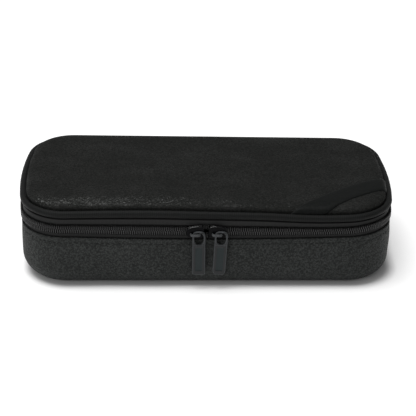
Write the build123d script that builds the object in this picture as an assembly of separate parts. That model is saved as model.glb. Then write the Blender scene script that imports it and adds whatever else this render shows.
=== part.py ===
from build123d import *
import math
import os

# A soft box pen case that opens like a book. A zip runs round the front and both ends,
# and a strip of fabric along the back is the hinge. Two sliders meet at the front.
# Millimetres. The origin is the centre of the underside, +X is right, -Y is the front.

# The case, measured over its walls
case_width = 228.0
case_depth = 111.0
corner_radius = 28.0
end_bulge = 1.6

# Base wall, from the outside inwards
base_wall_height = 33.0
cover_thickness = 1.0
foam_thickness = 3.2
lining_thickness = 0.6
bottom_edge_radius = 12.0
outer_bands = 3
inner_bands = 2
room_bands = 1
bottom_seam_inset = 14.0
bottom_board_thickness = 2.0

# Zip chain and its two tapes
tape_thickness = 0.7
tape_tuck = 6.0
lower_tape_reveal = 2.4
upper_tape_reveal = 5.15
coil_pitch = 2.6
coil_length = 3.2
coil_overlap = 0.8
coil_thickness = 1.5
coil_root_width = 1.0
zip_spread = 0.9
zip_spread_ramp = 6.5
zip_spread_full_reach = 1.5
tape_edge_clearance = 0.2
zip_stop_length = 2.4

# Fabric hinge along the back
hinge_length = 150.0
hinge_end_gap = 0.5
hinge_top_clearance = 0.1

# Lid
lid_rise = 8.35
lid_rim_height = 4.25
lid_crown_reach = 17.0
lid_crown_fullness = 4.5
crown_bands = 3
inner_crown_bands = 2
lid_foam_thickness = 3.6
lid_lining_draw_in = 4.6
piping_diameter = 4.0
piping_stand_out = 0.55
piping_facets = 8
panel_seam_clearance = 0.05
binding_thickness = 0.7
binding_overlap = 0.15

# Rubber strap across the lid's right front corner
strap_thickness = 0.8
strap_width = 14.5
strap_front_x = 63.0
strap_front_angle = 45.0
strap_curve_radius = 220.0

# Pocket inside the lid
pocket_sheet_thickness = 0.5
pocket_side_margin = 14.0
pocket_back_margin = 2.0
pocket_depth = 62.0
pocket_corner_radius = 4.5
pocket_binding_width = 5.0
pocket_binding_thickness = 0.9
pocket_binding_chamfer = 0.3

# Zip sliders
slider_length = 10.6
slider_plate_thickness = 1.2
slider_clearance = 0.3
slider_channel_clearance = 0.15
slider_flange_width = 0.55
slider_nose_width = 6.0
slider_nose_dip = 0.5
slider_shoulder_set_back = 2.0
slider_corner_chamfer = 0.9
slider_edge_chamfer = 0.3
neck_half_width = 0.35
neck_length = 4.2
neck_set_back = 0.7
neck_front_half_width = 0.25
neck_widening = 1.6
left_slider_x = -6.9
right_slider_x = 5.9

# Bridge over each slider, and the leg that the pull hangs on
bridge_width = 1.7
bridge_leg_spacing = 5.6
bridge_thickness = 1.0
bridge_clearance = 0.25
bridge_drop = 0.7

# Pulls
pull_width = 7.8
pull_length = 29.0
pull_thickness = 1.5
pull_top_radius = 3.2
pull_bottom_radius = 2.2
pull_edge_chamfer = 0.3
pull_hole_width = 4.9
pull_hole_length = 7.3
pull_hole_radius = 2.35
pull_ring_width = 0.9
pull_panel_width = 4.4
pull_panel_length = 15.8
pull_panel_gap = 2.3
pull_panel_depth = 0.3
pull_gap = 0.15
left_pull_lift = 0.3
left_pull_shift = -0.3
left_pull_tilt = 0.0
right_pull_lift = 0.35
right_pull_shift = -0.25
right_pull_tilt = 3.0

# Places that follow from the sizes above
chain_half_height = coil_length - coil_overlap / 2
zip_centre_z = base_wall_height + lower_tape_reveal + chain_half_height
lid_seam_z = zip_centre_z + chain_half_height + upper_tape_reveal
lid_top_z = lid_seam_z + lid_rise
board_top_z = cover_thickness + bottom_board_thickness
tape_outer = cover_thickness
tape_inner = cover_thickness + tape_thickness
tape_edge_z = neck_half_width + tape_edge_clearance
wall_inner = cover_thickness + foam_thickness
piping_inset = piping_diameter / 2 - piping_stand_out
piping_z = lid_seam_z + piping_diameter / 2 + panel_seam_clearance
panel_inset = piping_inset + piping_diameter / 2 + panel_seam_clearance
lid_under_z = lid_top_z - cover_thickness - lid_foam_thickness
lid_lining_inset = panel_inset + lid_lining_draw_in
lid_lining_inner = lid_lining_inset + lining_thickness


def plan_arcs(inset):
    """Half angle, centre and radius of the bulging ends, and the corner arcs' centre."""
    side = case_depth / 2 - corner_radius
    half_angle = 2 * math.atan(end_bulge / side)
    end_radius = corner_radius + side / math.sin(half_angle)
    end_centre = case_width / 2 - end_radius
    corner_x = end_centre + (end_radius - corner_radius) * math.cos(half_angle)
    return half_angle, end_centre, end_radius - inset, corner_x, side, corner_radius - inset


def on_arc(centre_x, centre_y, radius, angle):
    return (centre_x + radius * math.cos(angle), centre_y + radius * math.sin(angle))


def end_arcs(inset, hand):
    """Front corner, bulging end and back corner, at the right (1) or the left (-1)."""
    half_angle, end_x, end_r, corner_x, corner_y, corner_r = plan_arcs(inset)
    corner_mid = (math.pi / 2 + half_angle) / 2
    front_corner = [
        on_arc(corner_x, -corner_y, corner_r, -math.pi / 2),
        on_arc(corner_x, -corner_y, corner_r, -corner_mid),
        on_arc(corner_x, -corner_y, corner_r, -half_angle),
    ]
    end = [
        front_corner[2],
        on_arc(end_x, 0, end_r, 0),
        on_arc(end_x, 0, end_r, half_angle),
    ]
    back_corner = [(x, -y) for x, y in reversed(front_corner)]
    arcs = []
    for points in (front_corner, end, back_corner):
        arcs.append(ThreePointArc(*[(hand * x, y) for x, y in points]))
    return arcs


def plan_outline(inset):
    """The case's outline seen from above: straight sides, round corners, bulging ends."""
    _, _, _, corner_x, corner_y, corner_r = plan_arcs(inset)
    side = corner_y + corner_r
    curve = Line((-corner_x, -side), (corner_x, -side))
    curve = curve + end_arcs(inset, 1)
    curve = curve + Line((corner_x, side), (-corner_x, side))
    curve = curve + end_arcs(inset, -1)
    return Wire(curve.edges())


def plan_slab(inset, bottom, top):
    """A slab with the case's outline, drawn in by the inset."""
    face = make_face(plan_outline(inset).edges())
    return extrude(Pos(0, 0, bottom) * face, amount=top - bottom)


def plan_ring(outer_inset, inner_inset, bottom, top):
    """A wall that follows the case's outline between two insets."""
    return plan_slab(outer_inset, bottom, top) - plan_slab(inner_inset, bottom, top)


def banded_form(levels):
    """A solid through outlines given as (inset, height), joined by straight bands."""
    sections = []
    for inset, height in levels:
        sections.append(Pos(0, 0, height) * make_face(plan_outline(inset).edges()))
    return loft(sections, ruled=True)


def rounded_slab(inset, bottom, top, radius, bands):
    """A slab with the case's outline and a bottom edge rounded in straight bands."""
    levels = []
    for step in range(bands + 1):
        angle = math.pi / 2 * step / bands
        turn_in = radius * (1 - math.sin(angle))
        levels.append((inset + turn_in, bottom + radius * (1 - math.cos(angle))))
    return banded_form(levels + [(inset, top)])


def back_window(length):
    """The stretch of the back wall that the fabric hinge takes."""
    return Pos(0, case_depth / 2, lid_seam_z / 2) * Box(length, corner_radius, 2 * lid_seam_z)


def front_plane(outward):
    """A plane on the front wall at zip height. Its X is the case's X and its Y is up."""
    origin = (0, -case_depth / 2 - outward, zip_centre_z)
    return Plane(origin=origin, x_dir=(1, 0, 0), z_dir=(0, -1, 0))


def front_block(sketch, inner, outer):
    """Extrudes a sketch outwards from the front wall, between two stand-offs."""
    return extrude(front_plane(inner) * sketch, amount=outer - inner)


def spread_at(x):
    """How far each half of the chain stands off the zip's centre line at the front."""
    left_edge = left_slider_x + zip_spread_full_reach
    right_edge = right_slider_x - zip_spread_full_reach
    past = max(left_edge - x, x - right_edge, 0)
    share = min(past / zip_spread_ramp, 1)
    return zip_spread * (0.5 + 0.5 * math.cos(math.pi * share))


# Base


def make_base_side_panel():
    """The fabric wall of the base, turned in under the bottom edge."""
    outer = rounded_slab(0, 0, base_wall_height, bottom_edge_radius, outer_bands)
    hollow = rounded_slab(
        cover_thickness,
        cover_thickness,
        base_wall_height,
        bottom_edge_radius - cover_thickness,
        inner_bands,
    )
    return outer - hollow - plan_slab(bottom_seam_inset, 0, cover_thickness)


def make_base_bottom_panel():
    """The flat fabric bottom, inside the seam on the underside."""
    return plan_slab(bottom_seam_inset, 0, cover_thickness)


def base_room(inset):
    """The room inside the foam and above the board, drawn in by the inset."""
    edge_radius = bottom_edge_radius - wall_inner - inset
    bottom = board_top_z + inset
    return rounded_slab(wall_inner + inset, bottom, base_wall_height, edge_radius, room_bands)


def make_bottom_board():
    """The stiff board that keeps the bottom flat."""
    return plan_slab(bottom_edge_radius, cover_thickness, board_top_z)


def make_base_wall_foam():
    """The foam in the base wall, stepped at the top where the zip tape lies on it."""
    edge_radius = bottom_edge_radius - cover_thickness
    block = rounded_slab(
        cover_thickness, cover_thickness, base_wall_height, edge_radius, inner_bands
    )
    board = plan_slab(bottom_edge_radius, cover_thickness, board_top_z)
    step = plan_ring(
        tape_outer, tape_inner, base_wall_height - tape_tuck, base_wall_height
    )
    return block - base_room(0) - board - step


def make_base_lining():
    """The lining of the base: its floor and walls."""
    return base_room(0) - base_room(lining_thickness)


# Zip tapes and chain


def make_lower_zip_tape():
    """The tape that is sewn between the base wall's cover and its foam."""
    bottom = base_wall_height - tape_tuck
    band = plan_ring(tape_outer, tape_inner, bottom, zip_centre_z - tape_edge_z)
    return band - back_window(hinge_length + 2 * hinge_end_gap)


def make_upper_zip_tape():
    """The tape that is sewn under the lid's piping."""
    band = plan_ring(tape_outer, tape_inner, zip_centre_z + tape_edge_z, lid_seam_z)
    return band - back_window(hinge_length + 2 * hinge_end_gap)


def chain_point(distance):
    """Point and outward angle on the tape's face, from the front centre to the right."""
    half_angle, end_x, end_r, corner_x, corner_y, corner_r = plan_arcs(tape_outer)
    quarter = corner_r * (math.pi / 2 - half_angle)
    end_run = 2 * end_r * half_angle
    if distance <= corner_x:
        return (distance, -corner_y - corner_r), -math.pi / 2
    distance -= corner_x
    if distance <= quarter:
        angle = distance / corner_r - math.pi / 2
        return on_arc(corner_x, -corner_y, corner_r, angle), angle
    distance -= quarter
    if distance <= end_run:
        angle = distance / end_r - half_angle
        return on_arc(end_x, 0, end_r, angle), angle
    distance -= end_run
    if distance <= quarter:
        angle = half_angle + distance / corner_r
        return on_arc(corner_x, corner_y, corner_r, angle), angle
    return (corner_x + quarter - distance, corner_y + corner_r), math.pi / 2


def chain_length():
    """Length of half the chain, from the front centre to its end on the back."""
    half_angle, _, end_r, corner_x, _, corner_r = plan_arcs(tape_outer)
    quarter = corner_r * (math.pi / 2 - half_angle)
    past_corner = corner_x - hinge_length / 2 - hinge_end_gap - zip_stop_length - coil_root_width
    return corner_x + 2 * quarter + 2 * end_r * half_angle + past_corner


def coil_loop():
    """One loop of the coil: a ridge across the tape, widest where it is sewn down."""
    foot = coil_root_width / 2
    profile = Polyline((0, -foot), (coil_thickness, 0), (0, foot), close=True)
    return extrude(make_face(profile), amount=coil_length)


def make_zip_coil(side, phase):
    """One half of the chain. Its loops stand in the gaps of the other half."""
    loop = coil_loop()
    low = zip_centre_z - coil_overlap / 2 if side > 0 else zip_centre_z - chain_half_height
    reach = chain_length()
    count = int(reach / coil_pitch)
    loops = []
    for number in range(-count, count + 1):
        distance = (number + phase) * coil_pitch
        if abs(distance) > reach:
            continue
        (x, y), angle = chain_point(abs(distance))
        if distance < 0:
            x = -x
            angle = math.pi - angle
        z = low + side * spread_at(x) if y < 0 else low
        loops.append(Pos(x, y, z) * Rot(0, 0, math.degrees(angle)) * loop)
    return Compound(children=loops)


def make_zip_stop(hand):
    """The stop clamped on the lower tape at the chain's end, beside the hinge."""
    low = zip_centre_z - chain_half_height
    high = zip_centre_z - tape_edge_z
    x = hand * (hinge_length / 2 + hinge_end_gap + zip_stop_length / 2)
    y = case_depth / 2 - tape_outer + coil_thickness / 2
    block = Box(zip_stop_length, coil_thickness, high - low)
    block = chamfer(block.faces().sort_by(Axis.Y)[-1].edges(), slider_edge_chamfer)
    return Pos(x, y, (low + high) / 2) * block


def make_hinge_panel():
    """The strip of fabric along the back that the lid turns on."""
    bottom = base_wall_height - tape_tuck
    band = plan_ring(tape_outer, tape_inner, bottom, lid_seam_z - hinge_top_clearance)
    return band & back_window(hinge_length)


# Lid


def crown_inset(height):
    """How far the lid's crowned form has drawn in at a height from 0 (rim) to 1 (top)."""
    return lid_crown_reach * (1 - (1 - height**2) ** (1 / lid_crown_fullness))


def lid_form(inset, bands):
    """The crowned form of the lid above its seam, drawn in on every side by the inset."""
    rim_z = lid_seam_z + lid_rim_height
    rise = lid_top_z - rim_z - inset
    levels = [(panel_inset + inset, lid_seam_z)]
    for step in range(bands + 1):
        height = math.sin(math.pi / 2 * step / bands)
        levels.append((panel_inset + inset + crown_inset(height), rim_z + rise * height))
    return banded_form(levels)


def make_lid_top_panel():
    """The fabric top, turned down to the piping all round."""
    return lid_form(0, crown_bands) - lid_form(cover_thickness, inner_crown_bands)


def make_lid_foam():
    """The foam board under the top panel, flat on its underside."""
    block = lid_form(cover_thickness, inner_crown_bands)
    return block - plan_slab(0, lid_seam_z, lid_under_z)


def make_lid_lining():
    """The lining under the foam board, turned down to the seam."""
    tray = plan_slab(lid_lining_inset, lid_seam_z, lid_under_z)
    room = plan_slab(lid_lining_inner, lid_seam_z, lid_under_z - lining_thickness)
    return tray - room


def make_lid_piping():
    """The covered cord sewn round the lid's edge."""
    path = Pos(0, 0, piping_z) * plan_outline(piping_inset)
    section = Plane(
        origin=(0, -case_depth / 2 + piping_inset, piping_z),
        x_dir=(0, 1, 0),
        z_dir=(1, 0, 0),
    )
    return sweep(section * RegularPolygon(piping_diameter / 2, piping_facets), path=path)


def make_lid_seam_binding():
    """The flat tape inside the lid that covers the raw seam, from the zip tape to the lining."""
    inner_edge = lid_lining_inner + binding_overlap
    return plan_ring(tape_inner, inner_edge, lid_seam_z - binding_thickness, lid_seam_z)


def make_corner_strap():
    """The smooth strap laid across the lid's right front corner, seam to seam."""
    low = piping_z + piping_diameter / 2 + panel_seam_clearance
    skin = lid_form(-strap_thickness, crown_bands) - lid_form(0, crown_bands)
    slope = math.radians(strap_front_angle)
    centre_x = strap_front_x + strap_curve_radius * math.sin(slope)
    centre_y = -case_depth / 2 - strap_curve_radius * math.cos(slope)
    band = Circle(strap_curve_radius + strap_width / 2)
    band = band - Circle(strap_curve_radius - strap_width / 2)
    return skin & extrude(Pos(centre_x, centre_y, low) * band, amount=lid_top_z)


def make_lid_pocket():
    """The flat pocket sewn under the lid lining, open towards the front."""
    top = lid_under_z - lining_thickness
    width = case_width - 2 * (lid_lining_inner + pocket_side_margin)
    back = case_depth / 2 - lid_lining_inner - pocket_back_margin
    sheet = Box(width, pocket_depth, pocket_sheet_thickness)
    sheet = chamfer(sheet.edges().filter_by(Axis.Z), pocket_corner_radius)
    return Pos(0, back - pocket_depth / 2, top - pocket_sheet_thickness / 2) * sheet


def make_pocket_binding():
    """The elastic edge of the pocket's mouth."""
    top = lid_under_z - lining_thickness - pocket_sheet_thickness
    width = case_width - 2 * (lid_lining_inner + pocket_side_margin)
    back = case_depth / 2 - lid_lining_inner - pocket_back_margin
    front = back - pocket_depth + pocket_binding_width
    length = width - 2 * pocket_corner_radius
    strip = Box(length, pocket_binding_width, pocket_binding_thickness)
    strip = chamfer(strip.edges().filter_by(Axis.X).group_by(Axis.Z)[0], pocket_binding_chamfer)
    return Pos(0, front, top - pocket_binding_thickness / 2) * strip


# Sliders and pulls


def slider_half_width(share, extra):
    """Half the inner width of the slider: 0 is the tail, 1 is the shoulder."""
    return chain_half_height + slider_channel_clearance + zip_spread * share + extra


def slider_sketch():
    """Outline of a slider plate. The tail points left and the shoulder right."""
    half = slider_length / 2
    tail = slider_half_width(0, slider_flange_width)
    shoulder = slider_half_width(1, slider_flange_width)
    nose = slider_nose_width / 2
    turn = half - slider_shoulder_set_back
    upper = [(-half, tail), (0, shoulder), (turn, shoulder), (half, nose)]
    lower = [(x, -z) for x, z in reversed(upper)]
    outline = Polyline(*upper, (half - slider_nose_dip, 0), *lower, close=True)
    sketch = make_face(outline)
    return chamfer(sketch.vertices(), slider_corner_chamfer)


def channel_sketch():
    """The room for the chain inside a slider, one run at the tail and two at the shoulder."""
    half = slider_length / 2
    tail = slider_half_width(0, 0)
    shoulder = slider_half_width(1, 0)
    upper = [(-half, tail), (0, shoulder), (half, shoulder)]
    lower = [(x, -z) for x, z in reversed(upper)]
    return make_face(Polyline(*upper, *lower, close=True))


def neck_sketch():
    """The wedge between the two halves of the chain, pointing at the tail."""
    nose = slider_length / 2 - neck_set_back
    upper = [(nose, neck_front_half_width), (nose - neck_widening, neck_half_width)]
    tip = (nose - neck_length, 0)
    lower = [(x, -z) for x, z in reversed(upper)]
    return make_face(Polyline(*upper, tip, *lower, close=True))


def slider_plate_inner():
    return coil_thickness - cover_thickness + slider_clearance


def slider_plate_outer():
    return slider_plate_inner() + slider_plate_thickness


def make_slider_body(centre, hand):
    """Outer plate with its flanges, neck and inner plate, as one casting."""
    plate = slider_sketch()
    inner_face = slider_plate_inner()
    tape_side = slider_clearance - tape_outer
    inner_plate_face = -tape_inner - slider_clearance
    outer = front_block(plate, inner_face, slider_plate_outer())
    outer = chamfer(outer.faces().sort_by(Axis.Y)[0].edges(), slider_edge_chamfer)
    flanges = front_block(plate - channel_sketch(), tape_side, inner_face)
    neck = front_block(neck_sketch(), inner_plate_face, inner_face)
    inner = front_block(
        plate, inner_plate_face - slider_plate_thickness, inner_plate_face
    )
    body = outer + flanges + neck + inner
    if hand > 0:
        body = mirror(body, about=Plane.YZ)
    return Pos(centre, 0, 0) * body


def bridge_under():
    return slider_plate_outer() + pull_gap + pull_thickness + bridge_clearance


def make_slider_bridge(centre):
    """The bridge that holds the pull: a rounded bar on two round legs."""
    spacing = bridge_leg_spacing / 2
    bar = SlotOverall(bridge_leg_spacing + bridge_width, bridge_width)
    bar = front_block(bar, bridge_under(), bridge_under() + bridge_thickness)
    feet = Locations((-spacing, 0), (spacing, 0))
    legs = Sketch() + [place * Circle(bridge_width / 2) for place in feet]
    legs = front_block(legs, slider_plate_outer(), bridge_under())
    return Pos(centre, 0, -bridge_drop) * (bar + legs)


def make_pull_tab(centre, lift, shift, tilt):
    """The pull: a ring that hangs on the bridge's right leg, and a tongue with a sunk panel."""
    hole_top = bridge_width / 2 + lift
    top = hole_top + pull_ring_width
    middle = top - pull_length / 2
    blank = Pos(shift, middle) * Rectangle(pull_width, pull_length)
    blank = fillet(blank.vertices().group_by(Axis.Y)[-1], pull_top_radius)
    blank = fillet(blank.vertices().group_by(Axis.Y)[0], pull_bottom_radius)
    hole = RectangleRounded(pull_hole_width, pull_hole_length, pull_hole_radius)
    hole = Pos(shift, hole_top - pull_hole_length / 2) * hole
    panel = Rectangle(pull_panel_width, pull_panel_length)
    panel_top = hole_top - pull_hole_length - pull_panel_gap
    panel = Pos(shift, panel_top - pull_panel_length / 2) * panel
    back = slider_plate_outer() + pull_gap
    front = back + pull_thickness
    body = front_block(blank, back, front)
    body = chamfer(body.faces().sort_by(Axis.Y)[0].edges(), pull_edge_chamfer)
    body = body - front_block(hole, back, front)
    body = body - front_block(panel, front - pull_panel_depth, front)
    pivot = Axis((0, 0, zip_centre_z), (0, 1, 0))
    return Pos(centre + bridge_leg_spacing / 2, 0, -bridge_drop) * body.rotate(pivot, tilt)


parts = {
    "base_side_panel": make_base_side_panel(),
    "base_bottom_panel": make_base_bottom_panel(),
    "bottom_board": make_bottom_board(),
    "base_wall_foam": make_base_wall_foam(),
    "base_lining": make_base_lining(),
    "lower_zip_tape": make_lower_zip_tape(),
    "lower_zip_coil": make_zip_coil(-1, 0),
    "left_zip_stop": make_zip_stop(-1),
    "right_zip_stop": make_zip_stop(1),
    "hinge_panel": make_hinge_panel(),
    "lid_top_panel": make_lid_top_panel(),
    "lid_foam": make_lid_foam(),
    "lid_lining": make_lid_lining(),
    "lid_piping": make_lid_piping(),
    "lid_seam_binding": make_lid_seam_binding(),
    "upper_zip_tape": make_upper_zip_tape(),
    "upper_zip_coil": make_zip_coil(1, 0.5),
    "corner_strap": make_corner_strap(),
    "lid_pocket": make_lid_pocket(),
    "pocket_binding": make_pocket_binding(),
    "left_slider_body": make_slider_body(left_slider_x, -1),
    "right_slider_body": make_slider_body(right_slider_x, 1),
    "left_slider_bridge": make_slider_bridge(left_slider_x),
    "right_slider_bridge": make_slider_bridge(right_slider_x),
    "left_pull_tab": make_pull_tab(
        left_slider_x, left_pull_lift, left_pull_shift, left_pull_tilt
    ),
    "right_pull_tab": make_pull_tab(
        right_slider_x, right_pull_lift, right_pull_shift, right_pull_tilt
    ),
}

os.makedirs("parts", exist_ok=True)
for name, shape in parts.items():
    export_step(shape, f"parts/{name}.step")
    print(name, round(shape.volume, 1))
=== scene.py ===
# %% [markdown]
# A soft box pen case, dressed for the camera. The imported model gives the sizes, the moving
# bodies and the joints. This script adds what cloth, thread, nylon and enamel look like.
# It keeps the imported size, and soft pieces settle from their packed lines by up to about two
# millimetres, as cloth does.

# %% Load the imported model
import math

import bmesh
import bpy
import mathutils
import numpy as np
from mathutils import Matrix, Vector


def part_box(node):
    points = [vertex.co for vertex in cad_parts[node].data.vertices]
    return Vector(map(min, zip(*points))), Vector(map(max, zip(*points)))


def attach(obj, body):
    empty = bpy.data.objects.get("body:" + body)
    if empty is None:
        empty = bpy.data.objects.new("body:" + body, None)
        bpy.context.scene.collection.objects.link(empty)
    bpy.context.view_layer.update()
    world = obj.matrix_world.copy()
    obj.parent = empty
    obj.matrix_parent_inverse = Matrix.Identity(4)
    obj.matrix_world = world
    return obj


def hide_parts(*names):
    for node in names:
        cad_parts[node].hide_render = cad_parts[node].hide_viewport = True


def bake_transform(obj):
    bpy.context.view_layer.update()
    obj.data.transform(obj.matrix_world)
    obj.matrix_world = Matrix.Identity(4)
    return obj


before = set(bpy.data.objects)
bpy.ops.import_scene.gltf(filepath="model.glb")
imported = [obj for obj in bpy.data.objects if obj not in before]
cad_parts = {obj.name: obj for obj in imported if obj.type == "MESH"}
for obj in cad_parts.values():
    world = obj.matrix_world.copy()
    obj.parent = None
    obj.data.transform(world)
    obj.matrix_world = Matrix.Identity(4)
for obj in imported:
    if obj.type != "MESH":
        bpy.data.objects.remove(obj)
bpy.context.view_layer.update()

# %% [markdown]
# The case is small, so its sizes are written in millimetres, which are easy to read. Blender
# works in metres here, so each mesh is scaled once, when its points are handed over.

# %% Sizes that the pieces share, in millimetres
METRE = 0.001

def node_box(node):
    """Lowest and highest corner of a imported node, in millimetres."""
    return np.array(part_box(node)) / METRE

base_high = node_box("base_side_panel")[1]
lid_low, lid_high = node_box("lid_top_panel")
piping_low, piping_high = node_box("lid_piping")
tape_high = node_box("upper_zip_tape")[1]
hinge_high = node_box("hinge_panel")[1]
chain_low = node_box("lower_zip_coil")[0][2]
chain_high = node_box("upper_zip_coil")[1][2]

half_width = base_high[0]
half_depth = base_high[1]
wall_top = base_high[2]
lid_top = lid_high[2]
seam_z = lid_low[2]
zip_z = (chain_low + chain_high) / 2
piping_z = (piping_low[2] + piping_high[2]) / 2
piping_radius = (piping_high[2] - piping_low[2]) / 2
piping_inset = half_depth - piping_high[1] + piping_radius
tape_inset = half_depth - tape_high[1]
tape_top = tape_high[2]
lid_inset = half_depth - lid_high[1]
hinge_half = hinge_high[0]
bottom_seam = half_depth - node_box("base_bottom_panel")[1][1]

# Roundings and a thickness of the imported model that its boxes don't tell
corner_radius = 28.0
end_bulge = 1.6
bottom_radius = 12.0
lid_reach = 17.0
lid_rim = 4.25
tape_thickness = 0.7
print("case", 2 * half_width, 2 * half_depth, "top", lid_top, "piping", piping_z, piping_inset)

# %% [markdown]
# Seen from above, the case is a rectangle with round corners and slightly bulging ends. Every
# soft piece runs along this one line, so it is worked out once: a distance along the line
# gives a point and the direction that faces out. Drawing a piece in from the wall is then one
# subtraction. A Bezier curve could hold the outline too, but arcs keep the true distances.

# %% The outline of the case
side_y = half_depth - corner_radius
end_angle = 2 * math.atan(end_bulge / side_y)
end_radius = corner_radius + side_y / math.sin(end_angle)
end_x = half_width - end_radius
corner_x = end_x + (end_radius - corner_radius) * math.cos(end_angle)
quarter = corner_radius * (math.pi / 2 - end_angle)
end_run = 2 * end_radius * end_angle
lap = 4 * corner_x + 4 * quarter + 2 * end_run

def outline(s):
    """Point and outward direction at distance s along the wall. 0 is the front's middle.

    Front line, corner arc, end arc, corner arc and back line follow each other. A point is
    middle + radius * (cos, sin) of its angle, and a line is an arc of radius 0 whose middle
    moves. The left half is the right half with x turned round.
    """
    s = np.mod(np.asarray(s, float), lap)
    hand = np.where(s <= lap / 2, 1.0, -1.0)
    d = np.minimum(s, lap - s)
    turn_1 = corner_x + quarter
    turn_2 = turn_1 + end_run
    turn_3 = turn_2 + quarter
    a_1 = (d - corner_x) / corner_radius - math.pi / 2
    a_2 = (d - turn_1) / end_radius - end_angle
    a_3 = (d - turn_2) / corner_radius + end_angle
    part = [d <= corner_x, d <= turn_1, d <= turn_2, d <= turn_3]
    angle = np.select(part, [-math.pi / 2 + 0 * d, a_1, a_2, a_3], math.pi / 2)
    radius = np.select(part, [0 * d, corner_radius, end_radius, corner_radius], 0)
    middle_x = np.select(part, [d, corner_x, end_x, corner_x], corner_x - (d - turn_3))
    middle_y = np.select(part, [-half_depth + 0 * d, -side_y, 0, side_y], half_depth)
    normal = np.stack([hand * np.cos(angle), np.sin(angle)], axis=-1)
    x = hand * (middle_x + radius * np.cos(angle))
    return np.stack([x, middle_y + radius * np.sin(angle)], axis=-1), normal

def inset_at(x, y):
    """How far a point of the plan lies in from the wall: the least of its three distances."""
    x = np.abs(x)
    y = np.abs(y)
    corner = corner_radius - np.hypot(x - corner_x, y - side_y)
    to_end = end_radius - np.hypot(x - end_x, y)
    straight = half_depth - y
    in_corner = (x > corner_x) & (y - side_y > (x - corner_x) * math.tan(end_angle))
    return np.where(in_corner, corner, np.where(x > corner_x, to_end, np.minimum(straight, to_end)))

def in_space(plan, z):
    """Points of the plan with their heights."""
    return np.concatenate([plan, z[..., None]], axis=-1)

def facing(normal):
    """The outward direction and the one along the outline, both level, as (x, y, z)."""
    zero = np.zeros(len(normal))
    out = np.column_stack([normal, zero])
    return out, np.column_stack([-normal[:, 1], normal[:, 0], zero])

print("outline length", round(lap, 1), "mm")

# %% [markdown]
# Cloth is never quite flat. A few waves of different lengths and directions, added up, give a
# smooth unevenness that is the same in every run. Real cloth would need a simulation, but the
# case is stiffened by foam, so these waves are less than half a millimetre high. Two more
# curves serve many pieces: an S-curve for soft changes, and a power that squares off a circle.

# %% Gentle waves and two curves
def waves(x, y, length, height, seed, count=9):
    """Sum of sine waves. Each has its own direction, start and length, near the one given."""
    draw = np.random.default_rng(seed)
    total = np.zeros(np.broadcast(x, y).shape)
    for _ in range(count):
        heading = draw.uniform(0, 2 * math.pi)
        size = length * draw.uniform(0.7, 1.6)
        start = draw.uniform(0, 2 * math.pi)
        across = (x * math.cos(heading) + y * math.sin(heading)) * 2 * math.pi / size
        total = total + np.sin(across + start)
    return height * total / math.sqrt(count)

def smooth_step(low, high, value):
    """0 up to low, 1 from high, and an S-curve between them."""
    t = np.clip((value - low) / (high - low), 0, 1)
    return t * t * (3 - 2 * t)

def signed_power(value, power):
    """|value| ** power with the sign of value. Of a sine and cosine, it makes a superellipse."""
    return np.sign(value) * np.abs(value) ** power

print("a quarter of the way, the S-curve is at", float(smooth_step(0, 1, 0.25)))

# %% [markdown]
# A soft case settles. Its front wall sags between the corners, the chain climbs to the left
# and at the right corner, and the lid's rim droops above the right front. One height field
# moves every cloth piece alike, so what is sewn together stays together. Sculpting each piece
# alone would open seams.

# %% How the case has settled
front_margin = 8.0
still_from = 25.0
curve_reach = 80.0
seam_level = -0.4
seam_curve = 0.0002
seam_humps = [(102, 15, 0.6)]
chain_level = 0.25
chain_slope = -0.009
chain_curve = 0.0001
chain_humps = [(102, 16, 1.7)]
lid_slope = -0.0108
lid_humps = [(-32, 28, 0.55), (66, 27, -1.55), (-92, 20, -0.6)]

def humps(x, bells):
    """Bell curves along the case, added up. Each is its middle, its width and its height."""
    total = np.zeros_like(x)
    for middle, width, height in bells:
        total = total + height * np.exp(-(((x - middle) / width) ** 2))
    return total

def settled(x, y, z):
    """Change of height at a point: none low down, and set at the seam, the chain and the lid.

    Each level has a curve along the front, a parabola with humps. Between levels the change
    runs in a straight line, and it fades from the front wall to the back.
    """
    front = 1 - smooth_step(-half_depth + front_margin, still_from, y)
    along = np.clip(x, -curve_reach, curve_reach)
    seam = seam_level + seam_curve * along ** 2 + humps(x, seam_humps)
    chain = chain_level + chain_slope * along + chain_curve * along ** 2 + humps(x, chain_humps)
    seam = front * seam
    chain = front * chain
    lid = front * humps(x, lid_humps) + lid_slope * x
    low = np.clip((z - bottom_radius) / (wall_top - bottom_radius), 0, 1)
    middle = np.clip((z - wall_top) / (zip_z - wall_top), 0, 1)
    high = np.clip((z - zip_z) / (seam_z - zip_z), 0, 1)
    return low * seam + middle * (chain - seam) + high * (lid - chain)

def raise_by(piece, change):
    """Adds change(x, y, z) to the height of each point of a piece, all in millimetres."""
    points = np.empty(len(piece.data.vertices) * 3)
    piece.data.vertices.foreach_get("co", points)
    points = points.reshape(-1, 3) / METRE
    points[:, 2] += change(*points.T)
    piece.data.vertices.foreach_set("co", (points * METRE).ravel())
    piece.data.update()
    return piece

# %% [markdown]
# A grid of points becomes a mesh of four-sided faces. The grid may close on itself in one or
# both directions, as a ring or a tube does. Each corner of a face also gets a place in a flat
# pattern, in metres, so a weave can follow the cloth round a corner.

# %% Faces of a grid
def grid_quads(rows, columns, wrap_rows, wrap_columns):
    """Faces of a grid as four point numbers, and the grid places of their corners."""
    i = np.arange(rows if wrap_rows else rows - 1)
    j = np.arange(columns if wrap_columns else columns - 1)
    i, j = [a.ravel() for a in np.meshgrid(i, j, indexing="ij")]
    at_i = np.stack([i, i, i + 1, i + 1], axis=1)
    at_j = np.stack([j, j + 1, j + 1, j], axis=1)
    return (at_i % rows) * columns + at_j % columns, at_i, at_j

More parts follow.
